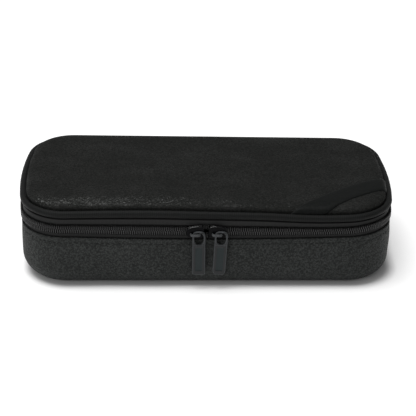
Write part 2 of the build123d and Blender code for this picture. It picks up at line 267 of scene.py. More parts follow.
def volume(points, quads):
    """Signed volume of a closed surface: positive when its faces point outwards."""
    a, b, c, d = [points[quads[:, k]] for k in range(4)]
    first = np.einsum("ij,ij->i", a, np.cross(b, c))
    second = np.einsum("ij,ij->i", a, np.cross(c, d))
    return (first + second).sum() / 6

def end_columns(rows, columns):
    """One face over the first column of a grid whose rows wrap, and one over the last."""
    first = np.arange(rows) * columns
    return [first.tolist(), (first + columns - 1).tolist()[::-1]]

def end_rows(rows, columns):
    """The same over the first and last row of a grid whose columns wrap."""
    first = np.arange(columns)
    return [first.tolist()[::-1], (first + (rows - 1) * columns).tolist()]

def together(parts):
    """Points and faces of several (points, faces) in one list each."""
    points, faces, count = [], [], 0
    for part_points, part_faces in parts:
        points.append(part_points)
        faces += [[number + count for number in face] for face in part_faces]
        count += len(part_points)
    return np.concatenate(points), faces

def outwards(points, quads, faces):
    """The faces, turned round if the closed surface of the quads is inside out."""
    return [face[::-1] for face in faces] if volume(points, quads) < 0 else faces

print("a tube of 5 rings with 6 points has", len(grid_quads(5, 6, False, True)[0]), "faces")

# %% [markdown]
# Points and faces become an object of Blender. Points that meet at a pole or a seam are merged,
# so that light runs smoothly over them. A closed surface has to face outwards, which its
# signed volume tells.

# %% From points and faces to a piece
def new_piece(name, points, faces, corner_uv=None, wear_and_sheen=None):
    """A mesh object from points in millimetres. worn is each point's share of a painted highlight."""
    mesh = bpy.data.meshes.new(name)
    mesh.from_pydata((points * METRE).tolist(), [], [list(f) for f in faces])
    if wear_and_sheen is not None:
        layer = mesh.attributes.new("wear_and_sheen", "FLOAT", "POINT")
        layer.data.foreach_set("value", wear_and_sheen)
    if corner_uv is not None:
        layer = mesh.uv_layers.new(name="pattern")
        layer.data.foreach_set("uv", (corner_uv * METRE).ravel())
    piece = bpy.data.objects.new(name, mesh)
    bpy.context.collection.objects.link(piece)
    work = bmesh.new()
    work.from_mesh(mesh)
    bmesh.ops.remove_doubles(work, verts=work.verts, dist=1e-7)
    bmesh.ops.dissolve_degenerate(work, edges=work.edges, dist=1e-7)
    work.to_mesh(mesh)
    work.free()
    mesh.polygons.foreach_set("use_smooth", [True] * len(mesh.polygons))
    mesh.update()
    print(name, len(mesh.polygons), "faces")
    return piece

def grid_piece(name, grid, u, v, wrap_rows=False, wrap_columns=False, flip=False, caps=False):
    """A piece from a grid of points (rows, columns, 3). u runs along columns, v along rows.

    u and v have one value more than the grid has columns or rows where the grid wraps.
    caps closes the first and last column of a ring of rows with one flat face each.
    """
    rows, columns = grid.shape[:2]
    quads, at_i, at_j = grid_quads(rows, columns, wrap_rows, wrap_columns)
    uv = np.stack([np.asarray(u)[at_j], np.asarray(v)[at_i]], axis=-1)
    points = grid.reshape(-1, 3)
    faces = quads.tolist()
    uv = uv.reshape(-1, 2)
    closed = wrap_rows and (wrap_columns or caps)
    if caps:
        faces = faces + end_columns(rows, columns)
        uv = np.concatenate([uv, np.zeros((2 * rows, 2))])
    turn = volume(points, quads) < 0 if closed else flip
    if turn:
        starts = np.cumsum([0] + [len(f) for f in faces])
        faces = [f[::-1] for f in faces]
        order = np.concatenate([np.arange(b - 1, a - 1, -1) for a, b in zip(starts, starts[1:])])
        uv = uv[order]
    return new_piece(name, points, faces, uv)

# %% [markdown]
# Cloth has a thickness, a finish and a place in the case. Thin cloth is drawn as one sheet,
# which a Solidify modifier turns into two faces and a rim.

# %% Thickness, finish and body of a piece
def thicken(piece, thickness):
    """A Solidify modifier whose wall grows inwards from the surface."""
    wall = piece.modifiers.new("wall", "SOLIDIFY")
    wall.thickness = thickness * METRE
    wall.offset = -1.0
    wall.use_rim = True
    return piece

def finish_piece(piece, body, material, slot, *nodes):
    """Puts the material on, parents the piece to its body's empty and hides the nodes it stands for.

    Pieces of the base and the lid settle first. Sliders and pulls keep their straight line.
    """
    if body in ("base", "lid"):
        raise_by(piece, settled)
    piece.data.materials.clear()
    piece.data.materials.append(material)
    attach(piece, body)
    if nodes:
        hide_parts(*nodes)
    return piece

# %% [markdown]
# Materials are sums and products of patterns, so a value in the node tree is wrapped in a
# small class that understands +, - and *. Each expression adds its Math nodes. Any other node
# comes from one method, which takes the node's settings first and its inputs second.

# %% Shader values that can be added and multiplied
class Value:
    """One output socket of a material's nodes. Arithmetic on it adds Math nodes."""

    def __init__(self, shade, socket):
        self.shade = shade
        self.socket = socket

    def maths(self, operation, *others):
        """One Math node with this value in its first input and the others after it."""
        inputs = dict(enumerate((self, *others)))
        return self.shade.node("ShaderNodeMath", {"operation": operation}, inputs)

    def __add__(self, other):
        return self.maths("ADD", other)

    def __sub__(self, other):
        return self.maths("SUBTRACT", other)

    def __rsub__(self, other):
        """A number less this value."""
        return (self * -1.0).maths("ADD", other)

    def __mul__(self, other):
        return self.maths("MULTIPLY", other)

    __radd__ = __add__
    __rmul__ = __mul__

class Shade:
    """The nodes of one material. constants are numbers for its Principled shader's sockets."""

    def __init__(self, name, **constants):
        self.material = bpy.data.materials.new(name)
        self.material.use_nodes = True
        self.tree = self.material.node_tree
        self.shader = self.tree.nodes["Principled BSDF"]
        for socket, value in constants.items():
            self.shader.inputs[socket.replace("_", " ")].default_value = value

    def put(self, socket, value):
        """Links a wrapped value to a socket, or sets the socket to a number or a colour."""
        if isinstance(value, Value):
            self.tree.links.new(value.socket, socket)
        elif isinstance(value, (tuple, list)) and len(value) == 3 and socket.type == "RGBA":
            socket.default_value = (*value, 1.0)
        else:
            socket.default_value = value

    def node(self, kind, settings=None, inputs=None, output=0):
        """Adds any node and returns one of its outputs, by number or by name."""
        made = self.tree.nodes.new(kind)
        for key, value in (settings or {}).items():
            setattr(made, key, value)
        for key, value in (inputs or {}).items():
            self.put(made.inputs[key], value)
        return Value(self, made.outputs[output])

    def place(self):
        """The point on the object, in metres."""
        return self.node("ShaderNodeTexCoord", output="Object")

    def pattern(self):
        """The place in the piece's own flat pattern, in metres."""
        return self.node("ShaderNodeUVMap", {"uv_map": "pattern"})

    def scaled(self, vector, factors):
        """The vector with its three numbers multiplied."""
        return self.node("ShaderNodeMapping", None, {"Vector": vector, "Scale": factors})

    def noise(self, vector, scale, detail=2.0, roughness=0.5, warp=0.0):
        """Soft random pattern from 0 to 1, with scale patches to the metre."""
        inputs = {"Vector": vector, "Scale": scale, "Detail": detail}
        inputs.update({"Roughness": roughness, "Distortion": warp})
        return self.node("ShaderNodeTexNoise", None, inputs)

    def cells(self, vector, scale):
        """Distance to the nearest of many scattered points, rounded where cells meet."""
        inputs = {"Vector": vector, "Scale": scale}
        return self.node("ShaderNodeTexVoronoi", {"feature": "SMOOTH_F1"}, inputs, "Distance")

    def stripes(self, coordinate, pitch):
        """A sine along one coordinate, from 0 to 1, with one wave for each pitch in mm."""
        phase = coordinate * (2 * math.pi / (pitch * METRE))
        return phase.maths("SINE") * 0.5 + 0.5

    def axis(self, vector, name):
        """One of the three numbers of a vector: X, Y or Z."""
        return self.node("ShaderNodeSeparateXYZ", None, {0: vector}, name)

    def between(self, value, low, high):
        """0 below low, 1 above high, smooth between them."""
        inputs = {"Value": value, "From Min": low, "From Max": high}
        settings = {"interpolation_type": "SMOOTHSTEP"}
        return self.node("ShaderNodeMapRange", settings, inputs)

    def mix(self, share, first, second):
        """One colour where share is 0 and the other where it is 1."""
        inputs = {0: share, 6: first, 7: second}
        return self.node("ShaderNodeMix", {"data_type": "RGBA"}, inputs, 2)

    def speckled(self, dark, light, grain):
        """A fine noise, and the colour that it makes between dark and light."""
        speckle = self.noise(self.place(), grain, 3.0, 0.55)
        return speckle, self.mix(self.between(speckle, 0.35, 0.65), dark, light)

    def surface(self, colour, roughness):
        """Sets what every finish has."""
        self.put(self.shader.inputs["Base Color"], colour)
        self.put(self.shader.inputs["Roughness"], roughness)

    def coat(self, share):
        """Sets how much of the surface has a shiny coat."""
        self.put(self.shader.inputs["Coat Weight"], share)

    def relief(self, height, depth):
        """Bumps the surface by a height from 0 to 1, depth millimetres high."""
        inputs = {"Height": height, "Distance": depth * METRE, "Strength": 1.0}
        bump = self.node("ShaderNodeBump", None, inputs)
        self.put(self.shader.inputs["Normal"], bump)

# %% [markdown]
# The body fabric is a coated cloth with a pebbled, crackled face. Small soft cells of one to
# two millimetres make the pebbles. Their tops are painted a little lighter, partly as wear and
# partly as painted highlight, and are shinier. The lines between them are painted dark as
# painted shade. The lid has the same cloth, stretched flatter over foam, in darker tones: a
# painted shade that makes the top look less lit than the front wall.

# %% Coated fabric for the base and the lid
# Colour of the painted highlight flecks on the lid's front shoulder.
glint_colour = (0.15, 0.155, 0.15)

def plan_distance(shade, shift=(0.0, 0.0, 0.0)):
    """Distance in metres from the case's plan, a round-cornered rectangle: 0 on its edge.

    It is the length of what is left of |x| and |y| after the straight sides, less the radius.
    It is negative inside, down to minus the radius.
    """
    place = shade.node("ShaderNodeMapping", None, {"Vector": shade.place(), "Location": shift})
    radius = corner_radius * METRE
    x = shade.axis(place, "X").maths("ABSOLUTE") - (half_width * METRE - radius)
    y = shade.axis(place, "Y").maths("ABSOLUTE") - (half_depth * METRE - radius)
    x = x.maths("MAXIMUM", 0.0)
    y = y.maths("MAXIMUM", 0.0)
    return (x * x + y * y).maths("SQRT") - radius

def painted_shoulder_glints(shade, place):
    """Share of painted highlight: light flecks, dense on the lid's front shoulder and most on its left.

    Flecks are the peaks of a noise. Where band, front and left are high, lower peaks count.
    """
    inside = plan_distance(shade) * -1.0
    band = shade.between(inside, 0.002, 0.006) * (1.0 - shade.between(inside, 0.009, 0.02))
    front = 1.0 - shade.between(shade.axis(shade.place(), "Y"), -0.045, -0.03)
    left = 1.0 - shade.between(shade.axis(shade.place(), "X"), -0.07, 0.09) * 0.8
    flecks = shade.noise(place, 1250.0, 3.0, 0.7, 1.0)
    few = shade.between(flecks + band * front * left * 0.13, 0.66, 0.8)
    return few * band * front

def coated_fabric(name, dark, light, pebble, depth, stretch, wear_and_sheen, specular, painted_sheen=False):
    """Cells, grain and creases, mixed: their sum is the relief, the tint and the gloss.

    A crease is a line where a noise passes its middle value. pebble is the size of a cell in
    mm, stretch draws all of them out along X, and worn is how much of the shiny coat is left
    on the raised parts. rubbed adds light flecks on the lid's front shoulder: painted highlight.
    """
    shade = Shade(name, Specular_IOR_Level=specular, Coat_Roughness=0.36, Coat_IOR=1.4)
    place = shade.scaled(shade.place(), (1.0 / stretch, 1.0, 1.0))
    cells = shade.cells(place, 1000.0 / pebble)
    grain = shade.noise(place, 1500.0 / pebble, 3.0, 0.65, 0.8)
    folds = shade.noise(place, 620.0 / pebble, 2.0, 0.5, 1.2)
    patches = shade.noise(place, 60.0, 2.0, 0.5)
    crease = 1.0 - shade.between((folds - 0.5).maths("ABSOLUTE"), 0.0, 0.05)
    pebbles = 1.0 - shade.between(cells, 0.1, 0.7)
    height = pebbles * 0.4 + grain * 0.6 - crease * 0.25
    # Painted light in the tint: pebble tops lighter, partly wear and partly painted highlight, creases
    # darker as painted shade.
    tint = shade.between(grain * 0.85 + pebbles * 0.2 + patches * 0.08 - crease * 0.1, 0.4, 0.7)
    cloth = shade.mix(tint, dark, light)
    # Painted highlight: light flecks are mixed into the colour on the lid's front shoulder.
    if painted_sheen:
        cloth = shade.mix(painted_shoulder_glints(shade, place), cloth, glint_colour)
    shade.surface(cloth, 0.72 - tint * 0.14)
    speck = shade.between(grain * 0.85 + patches * 0.35, 0.6, 0.74)
    shade.coat(speck * wear_and_sheen)
    shade.relief(height, depth)
    return shade.material

base_fabric = coated_fabric(
    "base fabric", (0.0165, 0.0180, 0.0173), (0.0450, 0.0480, 0.0462),
    pebble=1.05, depth=0.34, stretch=1.0, wear_and_sheen=0.1, specular=0.14,
)
# Painted shade: the base's cloth in darker tones, so the top looks less lit than the front wall.
shaded_lid_fabric = coated_fabric(
    "shaded lid fabric", (0.0104, 0.0109, 0.0102), (0.0196, 0.0202, 0.0190),
    pebble=0.85, depth=0.34, stretch=1.5, wear_and_sheen=0.3, specular=0.05, painted_sheen=True,
)
print("coated fabrics:", base_fabric.name, "and", shaded_lid_fabric.name)

# %% [markdown]
# Zip tape, piping cloth, lining and elastic are woven. A weave is two sets of sine ribs at
# right angles in the piece's own pattern, one set strong and one weak. The tapes carry painted
# shade: near-black bands where they go under the coil and into a seam, because little light
# gets in there. So half the chain's height, the tape's edge and its depth inside the wall are
# set here first. The upper tape is also painted lighter and the lower one darker than the
# plain tape, as painted light and shade.

# %% Woven cloths
zip_half = 2.8
tape_edge = 0.55
tape_tuck = 4.0
painted_shade_colour = (0.0015, 0.0015, 0.0015)

def woven(name, dark, light, rib, fine, depth, specular=0.16, rough=0.62, shade_bands=()):
    """Ribs across the cloth times finer ribs along it. Their tops are lighter.

    A band of painted shade is a stretch of the pattern's Y axis, in mm, where little light
    reaches the cloth.
    """
    shade = Shade(name, Specular_IOR_Level=specular, Sheen_Weight=0.04, Sheen_Roughness=0.4)
    flat = shade.pattern()
    across = shade.stripes(shade.axis(flat, "X"), rib)
    up = shade.stripes(shade.axis(flat, "Y"), fine)
    fuzz = shade.noise(shade.place(), 1500.0, 3.0, 0.6)
    weave = across * 0.6 + up * 0.4
    tint = shade.between(weave * 0.6 + fuzz * 0.5, 0.35, 0.9)
    cloth = shade.mix(tint, dark, light)
    # Painted shade: each band turns the colour near-black.
    for low, high in shade_bands:
        off = (shade.axis(flat, "Y") - (low + high) / 2 * METRE).maths("ABSOLUTE")
        half = (high - low) / 2 * METRE
        near = 1.0 - shade.between(off, half - 0.2 * METRE, half + 0.2 * METRE)
        cloth = shade.mix(near, cloth, painted_shade_colour)
    shade.surface(cloth, rough + fuzz * 0.12)
    shade.relief(weave * 0.8 + fuzz * 0.2, depth)
    return shade.material

tape_cloth = woven("zip tape", (0.0140, 0.0141, 0.0140), (0.028, 0.0283, 0.028), 0.8, 0.55, 0.07)
chain_band = zip_half - tape_edge + 0.45
upper_height = tape_top - zip_z - tape_edge
lower_height = zip_z - tape_edge - wall_top + tape_tuck
# Painted light and shade: the upper tape is lighter and the lower tape darker than the plain zip tape.
lit_upper_tape_cloth = woven(
    "lit upper zip tape", (0.0180, 0.0181, 0.0180), (0.033, 0.0333, 0.033), 0.8, 0.55, 0.07,
    shade_bands=((-1.0, chain_band), (upper_height - 1.5, upper_height + 1.0)),
)
shaded_lower_tape_cloth = woven(
    "shaded lower zip tape", (0.0120, 0.0121, 0.0120), (0.024, 0.0242, 0.024), 0.8, 0.55, 0.07,
    shade_bands=((tape_tuck - 0.6, tape_tuck + 0.5), (lower_height - chain_band, lower_height + 1.0)),
)
piping_cloth = woven(
    "piping cloth", (0.0050, 0.0054, 0.0052), (0.0150, 0.0158, 0.0154), 1.1, 0.5, 0.1,
    specular=0.1, rough=0.5,
)
lining_cloth = woven("lining", (0.030, 0.031, 0.033), (0.056, 0.058, 0.061), 0.9, 0.9, 0.08)
pocket_mesh = woven("pocket net", (0.012, 0.012, 0.013), (0.045, 0.045, 0.047), 1.5, 1.5, 0.3)
elastic_cloth = woven("elastic", (0.012, 0.012, 0.0125), (0.030, 0.030, 0.031), 5.0, 1.0, 0.2)
print("cloths:", [c.name for c in (tape_cloth, lit_upper_tape_cloth, shaded_lower_tape_cloth, piping_cloth)])

# %% [markdown]
# The chain is black nylon, sewn on with black thread. The sliders' plates have a near-black
# enamel, and their bridges are painted much lighter, as painted highlight. The pulls have a
# satin grey enamel whose rims are painted lighter, as painted highlight. One recipe with a
# noise serves most of them. A coat on the upper edges alone gives the thin glint along the top
# of a slider, and an attribute of the mesh says where a pull's rims get the painted highlight.

# %% Nylon, thread, enamel and board
def plain_finish(name, dark, light, grain, rough, spread, depth, **constants):
    """Noise alone tints a smooth finish, varies its gloss and gives it a fine skin."""
    shade = Shade(name, **constants)
    speckle, tint = shade.speckled(dark, light, grain)
    shade.surface(tint, rough + speckle * spread)
    shade.relief(speckle, depth)
    return shade.material

nylon = plain_finish(
    "coil nylon", (0.0045, 0.0045, 0.0045), (0.008, 0.008, 0.008), 900.0, 0.17, 0.1, 0.01,
    Specular_IOR_Level=0.52,
)
thread = plain_finish(
    "thread", (0.008, 0.008, 0.008), (0.018, 0.0185, 0.018), 3000.0, 0.6, 0.2, 0.02,
    Specular_IOR_Level=0.1,
)

def polished_above(name, dark, light):
    """Near-black enamel. Only where it faces up is its coat polished enough to catch a lamp."""
    shade = Shade(name, Specular_IOR_Level=0.05, Coat_Roughness=0.14, Coat_IOR=1.6)
    speckle, tint = shade.speckled(dark, light, 500.0)
    upward = shade.axis(shade.node("ShaderNodeTexCoord", output="Normal"), "Z")
    shade.surface(tint, 0.2 + speckle * 0.1)
    shade.coat(shade.between(upward, 0.25, 0.6))
    shade.relief(speckle, 0.01)
    return shade.material

slider_enamel = polished_above("slider enamel", (0.002, 0.002, 0.0025), (0.004, 0.004, 0.0045))
# Painted highlight: the bridges are painted far lighter than the near-black plates.
highlit_bridge_enamel = plain_finish(
    "highlit bridge enamel", (0.045, 0.047, 0.050), (0.060, 0.063, 0.066), 500.0, 0.36, 0.12, 0.02,
    Specular_IOR_Level=0.2,
)
stiff_board = plain_finish("board", (0.05, 0.05, 0.05), (0.07, 0.07, 0.07), 300.0, 0.8, 0.1, 0.05)

def rim_highlight_enamel(name, body, highlight_grey, panel):
    """Enamel painted lighter at the rims: painted highlight. The worn share is 1 there, -1 in the panel.
    """
    shade = Shade(name, Specular_IOR_Level=0.2)
    wear_and_sheen = shade.node("ShaderNodeAttribute", {"attribute_name": "wear_and_sheen"}, None, "Fac")
    speckle = shade.noise(shade.place(), 700.0, 3.0, 0.55)
    # Painted highlight: the rims are mixed towards a lighter grey.
    painted_sheen = shade.between(wear_and_sheen + speckle * 0.3, 0.3, 1.0)
    sunk = shade.between(wear_and_sheen * -1.0, 0.3, 0.8)
    flat = shade.mix(sunk, body, panel)
    shade.surface(shade.mix(painted_sheen, flat, highlight_grey), 0.4 - painted_sheen * 0.1 + speckle * 0.1)
    shade.relief(speckle, 0.02)
    return shade.material

pull_enamel = rim_highlight_enamel(
    "pull enamel", (0.0225, 0.0235, 0.0245), (0.048, 0.051, 0.054), (0.0165, 0.0235, 0.0245)
)
print("finishes:", [f.name for f in (nylon, thread, slider_enamel, highlit_bridge_enamel, pull_enamel)])

# %% [markdown]
# Most pieces of the case are long: wall, tape, piping, binding. Each has one section that stays
# the same on its way round, so a piece is a section carried along the outline. It is a grid
# whose rows follow the section and whose columns are places along the outline.

# %% Sweeping a section round the case
ring_step = 1.2

def stations(step, start=0.0, stop=None):
    """Even distances along the outline, about one step apart, with both ends."""
    stop = lap if stop is None else stop
    count = int(round((stop - start) / step / 2)) * 2
    return start + (stop - start) * np.arange(count + 1) / count

def swept(s, inset, height, push=None):
    """Grid of points: section (inset, height) at every distance s. push moves points out."""
    point, normal = outline(s)
    inset = np.broadcast_to(inset[:, None], (len(inset), len(s)))
    out = -inset if push is None else push - inset
    plan = point[None] + normal[None] * out[..., None]
    return in_space(plan, np.broadcast_to(height[:, None], out.shape))

def section(*parts):
    """Insets and heights of a whole section. Each part is a pair of numbers or arrays."""
    pairs = [np.broadcast_arrays(*np.atleast_1d(*part)) for part in parts]
    return [np.concatenate(values) for values in zip(*pairs)]

def section_length(inset, height):
    """Distance along a section, point by point, and back to its start."""
    step = np.hypot(np.diff(inset, append=inset[:1]), np.diff(height, append=height[:1]))
    return np.concatenate([[0.0], np.cumsum(step)])

def ring_piece(name, inset, height, push=None, step=ring_step):
    """A closed section carried all the way round."""
    s = stations(step)
    grid = swept(s[:-1], inset, height, None if push is None else push(s[:-1], height))
    return grid_piece(name, grid, s, section_length(inset, height), True, True)

def strip_piece(name, s, inset, height, rise=0.0):
    """A closed section carried along the stations s, with flat ends. rise lifts its points."""
    grid = swept(s, inset, height)
    grid[..., 2] += rise
    return grid_piece(name, grid, s, section_length(inset, height), True, False, caps=True)

print("one lap has", len(stations(ring_step)) - 1, "stations, one every", ring_step, "mm or so")

# %% [markdown]
# The wall of the base is one strip of fabric over foam. Its top edge is folded in at the zip
# tape, a row of stitches pulls a shallow groove below the fold, the wall swells slightly
# between its seams, and the strip turns in under the bottom. All of that is one section, so
# no join shows. The waves push it in and out.

# %% The cover of the base
stitch_z = wall_top - 3.4
groove_depth = 0.3
wall_swell = 0.2
fold_radius = 0.5
cloth_thickness = 1.0

def wall_section():
    """Outer face from the fold down to the underside's seam, and back up inside."""
    z = np.linspace(wall_top - 0.6, bottom_radius, 30)
    swell = wall_swell * np.sin(np.pi * (wall_top - z) / (wall_top - bottom_radius))
    groove = groove_depth * np.exp(-(((z - stitch_z) / 0.8) ** 2))
    turn = np.linspace(0, math.pi / 2, 15)[1:]
    fold = np.linspace(0, math.pi, 7)
    inner = bottom_radius - cloth_thickness
    seam = bottom_seam + np.array([-0.6, 0.0, 0.3, 0.0])
    back = turn[::-1]
    return section(
        (fold_radius + fold_radius * np.cos(fold), wall_top - fold_radius + fold_radius * np.sin(fold)),
        (groove - swell, z),
        (bottom_radius * (1 - np.cos(turn)), bottom_radius * (1 - np.sin(turn))),
        (seam, [0.0, 0.0, 0.5, cloth_thickness]),
        (bottom_radius - inner * np.cos(back), bottom_radius - inner * np.sin(back)),
        (cloth_thickness, [bottom_radius, 20.0]),
    )

def wall_push(s, height):
    """Waves on the wall, strongest at half height and none at its seams."""
    height = height[:, None]
    share = np.sin(np.pi * np.clip(height / wall_top, 0, 1))
    long_waves = waves(s[None], height * 2, 55.0, 0.28, 3)
    return share * (long_waves + waves(s[None], height, 17.0, 0.09, 4))

inset, height = wall_section()
# The section's points 36 to 7 are the outer face, from low to high
groove_inset = float(np.interp(stitch_z, height[36:6:-1], inset[36:6:-1]))
base_cover = ring_piece("base_cover", inset, height, wall_push)
finish_piece(base_cover, "base", base_fabric, "speckled_fabric", "base_side_panel")

# %% [markdown]
# A flat face inside the outline closes towards the case's middle line. The rings of points
# shrink to a line between the two ends, so the sheet has no hole and no crossed faces.

# %% Closing a sheet on the middle line
middle_reach = half_width - half_depth

def closing(ring, share):
    """Points between a ring and the case's middle line. share is 0 on the ring."""
    middle = np.zeros_like(ring)
    middle[:, 0] = np.clip(ring[:, 0], -middle_reach, middle_reach)
    return ring[None] * (1 - share[:, None, None]) + middle[None] * share[:, None, None]

def sheet_grid(s, inset, height, flat_height, share):
    """A section carried round, then a flat stretch that closes on the middle line."""
    rim = swept(s, inset, height)
    plan = closing(rim[-1, :, :2], share)
    return np.concatenate([rim, in_space(plan, flat_height(plan[..., 0], plan[..., 1]))])

def level(z):
    """The height of a flat sheet, as a function of the plan."""
    return lambda x, y: z + 0 * x

def sheet_piece(name, inset, height, flat_height, rows=12, step=ring_step, flip=False):
    """A sheet without a hole: its rim and sides are a section, its middle has flat_height."""
    s = stations(step)
    share = np.linspace(0, 1, rows + 1)[1:]
    grid = sheet_grid(s[:-1], inset, height, flat_height, share)
    along_section = section_length(inset, height)[:-1]
    to_middle = along_section[-1] + (half_depth - inset[-1]) * share
    v = np.concatenate([along_section, to_middle])
    return grid_piece(name, grid, s, v, False, True, flip=flip)

print("sheets close on a line of", 2 * middle_reach, "mm")

# %% [markdown]
# The underside is the same cloth, sewn to the wall in a seam that is sunk a little. Its edge
# rises into that seam, and the rest lies flat on the table.

# %% The underside
inset = bottom_seam + np.array([0.1, 0.3, 1.0])
height = np.array([0.9, 0.35, 0.05])
underside = sheet_piece("base_underside", inset, height, level(0.05), 10, flip=True)
thicken(underside, 0.7)
finish_piece(underside, "base", base_fabric, "speckled_fabric", "base_bottom_panel")

# %% [markdown]
# Stitches are short lengths of thread that stand a little proud and dive into the cloth at
# both ends. One small closed shape is repeated along a line by adding its points to every
# stitch's place at once. Here a topstitch lies in the wall's groove, and a closer row holds
# the fold to the zip tape.

# %% Rows of stitches
def stitches(name, centre, along, out, length, width, rise, turns=6, steps=5):
    """A spindle at each centre: a tube whose radius follows a half sine and whose line arches.

    A point is centre + along * (t - 1/2) * length + out * (arch + r sin) + side * r cos.
    """
    t = np.linspace(0, 1, steps)
    angle = np.arange(turns) * 2 * math.pi / turns
    thick = np.maximum(np.sin(np.pi * t), 0.0) ** 0.6 * width / 2
    arch = np.sin(np.pi * t) * rise
    side = np.cross(along, out)
    up = arch[:, None] + thick[:, None] * np.sin(angle)
    sideways = thick[:, None] * np.cos(angle)
    ring = (
        (t - 0.5)[None, :, None, None] * length * along[:, None, None, :]
        + up[None, ..., None] * out[:, None, None, :]
        + sideways[None, ..., None] * side[:, None, None, :]
    )
    points = (centre[:, None, None, :] + ring).reshape(-1, 3)
    quads, _, _ = grid_quads(steps, turns, False, True)
    each = steps * turns
    faces = (quads[None] + (np.arange(len(centre)) * each)[:, None, None]).reshape(-1, 4)
    if volume(points, faces) < 0:
        faces = faces[:, ::-1]
    return new_piece(name, points, faces.tolist())

def stitch_line(name, s, move, z, length, width, rise):
    """Stitches at the distances s, moved out from the outline, at heights z and facing out."""
    point, normal = outline(s)
    plan = point + normal * np.reshape(move, (-1, 1))
    centre = in_space(plan, z + 0 * s)
    out, along = facing(normal)
    return stitches(name, centre, along, out, length, width, rise)

top_pitch = 3.2
hem_pitch = 2.1
s = np.arange(top_pitch / 2, lap, top_pitch)
move = wall_push(s, np.array([stitch_z]))[0] - (groove_inset + 0.1)
topstitch = stitch_line("base_topstitch", s, move, stitch_z, 2.5, 0.5, 0.12)
finish_piece(topstitch, "base", thread, "speckled_fabric")
s = np.arange(hem_pitch / 2, lap, hem_pitch)
hem_stitch = stitch_line("base_hem_stitch", s, -1.0, wall_top + 0.45, 1.2, 0.6, 0.1)
finish_piece(hem_stitch, "base", thread, "zip_tape")

# %% [markdown]
# The zip runs along the front and both ends and stops short of the hinge. Its two tapes are
# flat strips. Each carries a coil: one thread of nylon wound into loops, whose heads hook
# into the loops of the other coil. Between the sliders the two halves stand apart.

# %% Where the chain runs, and where the sliders part it
slider_x = {hand: node_box(hand + "_slider_body")[:, 0].sum() / 2 for hand in ("left", "right")}
zip_end = lap / 2 - hinge_half - 0.5
spread_height = 1.3
spread_ramp = 6.5
spread_reach = 3.2

def parted(s):
    """How far each half of the chain stands off the middle: a half cosine past each slider."""
    x = np.where(s > lap / 2, s - lap, s)
    left = slider_x["left"] + spread_reach
    right = slider_x["right"] - spread_reach
    past = np.maximum(np.maximum(left - x, x - right), 0)
    return spread_height * (0.5 + 0.5 * np.cos(np.pi * np.clip(past / spread_ramp, 0, 1)))

def tape_strip(half, side, low, high, material):
    """A flat tape from low to high. Its edge at the chain follows the parted chain."""
    s = stations(0.9, -zip_end, zip_end)
    z = np.linspace(low, high, 24)
    lean = 1.1 * smooth_step(seam_z - 1.6, seam_z - 0.2, z)
    back = (tape_inset + tape_thickness + lean[::-1], z[::-1])
    inset, heights = section((tape_inset + lean, z), back)
    near = (heights - low) / (high - low)
    near = near if side < 0 else 1 - near
    rise = side * near[:, None] ** 3 * parted(s)[None]
    tape = strip_piece(half + "_tape", s, inset, heights, rise)
    body = "lid" if side > 0 else "base"
    finish_piece(tape, body, material, "zip_tape", half + "_zip_tape")

tape_strip("lower", -1, wall_top - tape_tuck, zip_z - tape_edge, shaded_lower_tape_cloth)
tape_strip("upper", 1, zip_z + tape_edge, tape_top, lit_upper_tape_cloth)

# %% [markdown]
# A coil is one round strand of nylon, wound over a flat former. The loops stand side by side
# on the front, and the strand steps to the next loop behind, where it is pressed flat. Two
# rows of cast teeth would look alike from afar, but near by the strand has to run on.

# %% The two coils
coil_pitch = 1.3
strand = 0.35
coil_rise = 0.8
coil_steps = 12
heads_overlap = 0.4
step_behind = 0.85
drop_behind = 0.45
thinner_behind = 0.45

def coil_path(side, phase):
    """Centre line of a coil: loops whose front legs stand upright, side by side.

    The angle turns once for each loop. Its cosine moves the line across the tape, between
    the sewn edge and the heads, and its sine takes the line off the tape and back. The line
    moves on to the next loop behind, where the sine is negative.
    """
    count = int((2 * zip_end - 4) / coil_pitch)
    turn = np.arange(count * coil_steps) / coil_steps
    angle = 2 * math.pi * turn
    onward = turn + step_behind * np.cos(angle) / (2 * math.pi)
    s = -count * coil_pitch / 2 + (onward + phase) * coil_pitch
    across = signed_power(np.cos(angle), 0.7)
    forward = signed_power(np.sin(angle), 0.8)
    inner = -heads_overlap + strand
    outer = zip_half - strand
    w = (inner + outer) / 2 - (outer - inner) / 2 * across
    behind = smooth_step(0.1, 0.9, -forward)
    off = coil_rise + (coil_rise - strand) * forward - drop_behind * behind
    point, normal = outline(s)
    plan = point + normal * (off - tape_inset)[:, None]
    path = in_space(plan, zip_z + side * (w + parted(s)))
    head = np.clip(across, 0, 1) ** 2
    radius = strand * (0.92 + 0.28 * head) * (1 - thinner_behind * behind)
    return path, facing(normal)[1], radius

def tube(name, path, reference, radius, sides, flat=1.0):
    """A round skin along a path. The reference direction keeps the rings from twisting."""
    tangent = np.gradient(path, axis=0)
    tangent /= np.linalg.norm(tangent, axis=1, keepdims=True)
    first = np.cross(tangent, reference)
    first /= np.linalg.norm(first, axis=1, keepdims=True)
    second = np.cross(tangent, first)
    angle = np.arange(sides) * 2 * math.pi / sides
    ring = np.cos(angle)[:, None, None] * first[None] * flat
    ring = ring + np.sin(angle)[:, None, None] * second[None]
    radius = np.broadcast_to(radius, (len(path),))
    grid = path[None] + ring * radius[None, :, None]
    run = np.concatenate([[0], np.cumsum(np.linalg.norm(np.diff(path, axis=0), axis=1))])
    v = np.linspace(0, 2 * math.pi * float(radius.mean()), sides + 1)
    return grid_piece(name, grid, run, v, True, False, caps=True)

halves = (("upper", 1, "lid", 0.25), ("lower", -1, "base", 0.75))
for half, side, body, phase in halves:
    path, along, radius = coil_path(side, phase)
    coil = tube(half + "_coil", path, along, radius, 6)
    finish_piece(coil, body, nylon, "zip_coil", half + "_zip_coil")

# %% [markdown]
# Each coil is sewn on its tape with a thread over every loop. The stitches lie outside the
# loops and follow the chain where it parts.

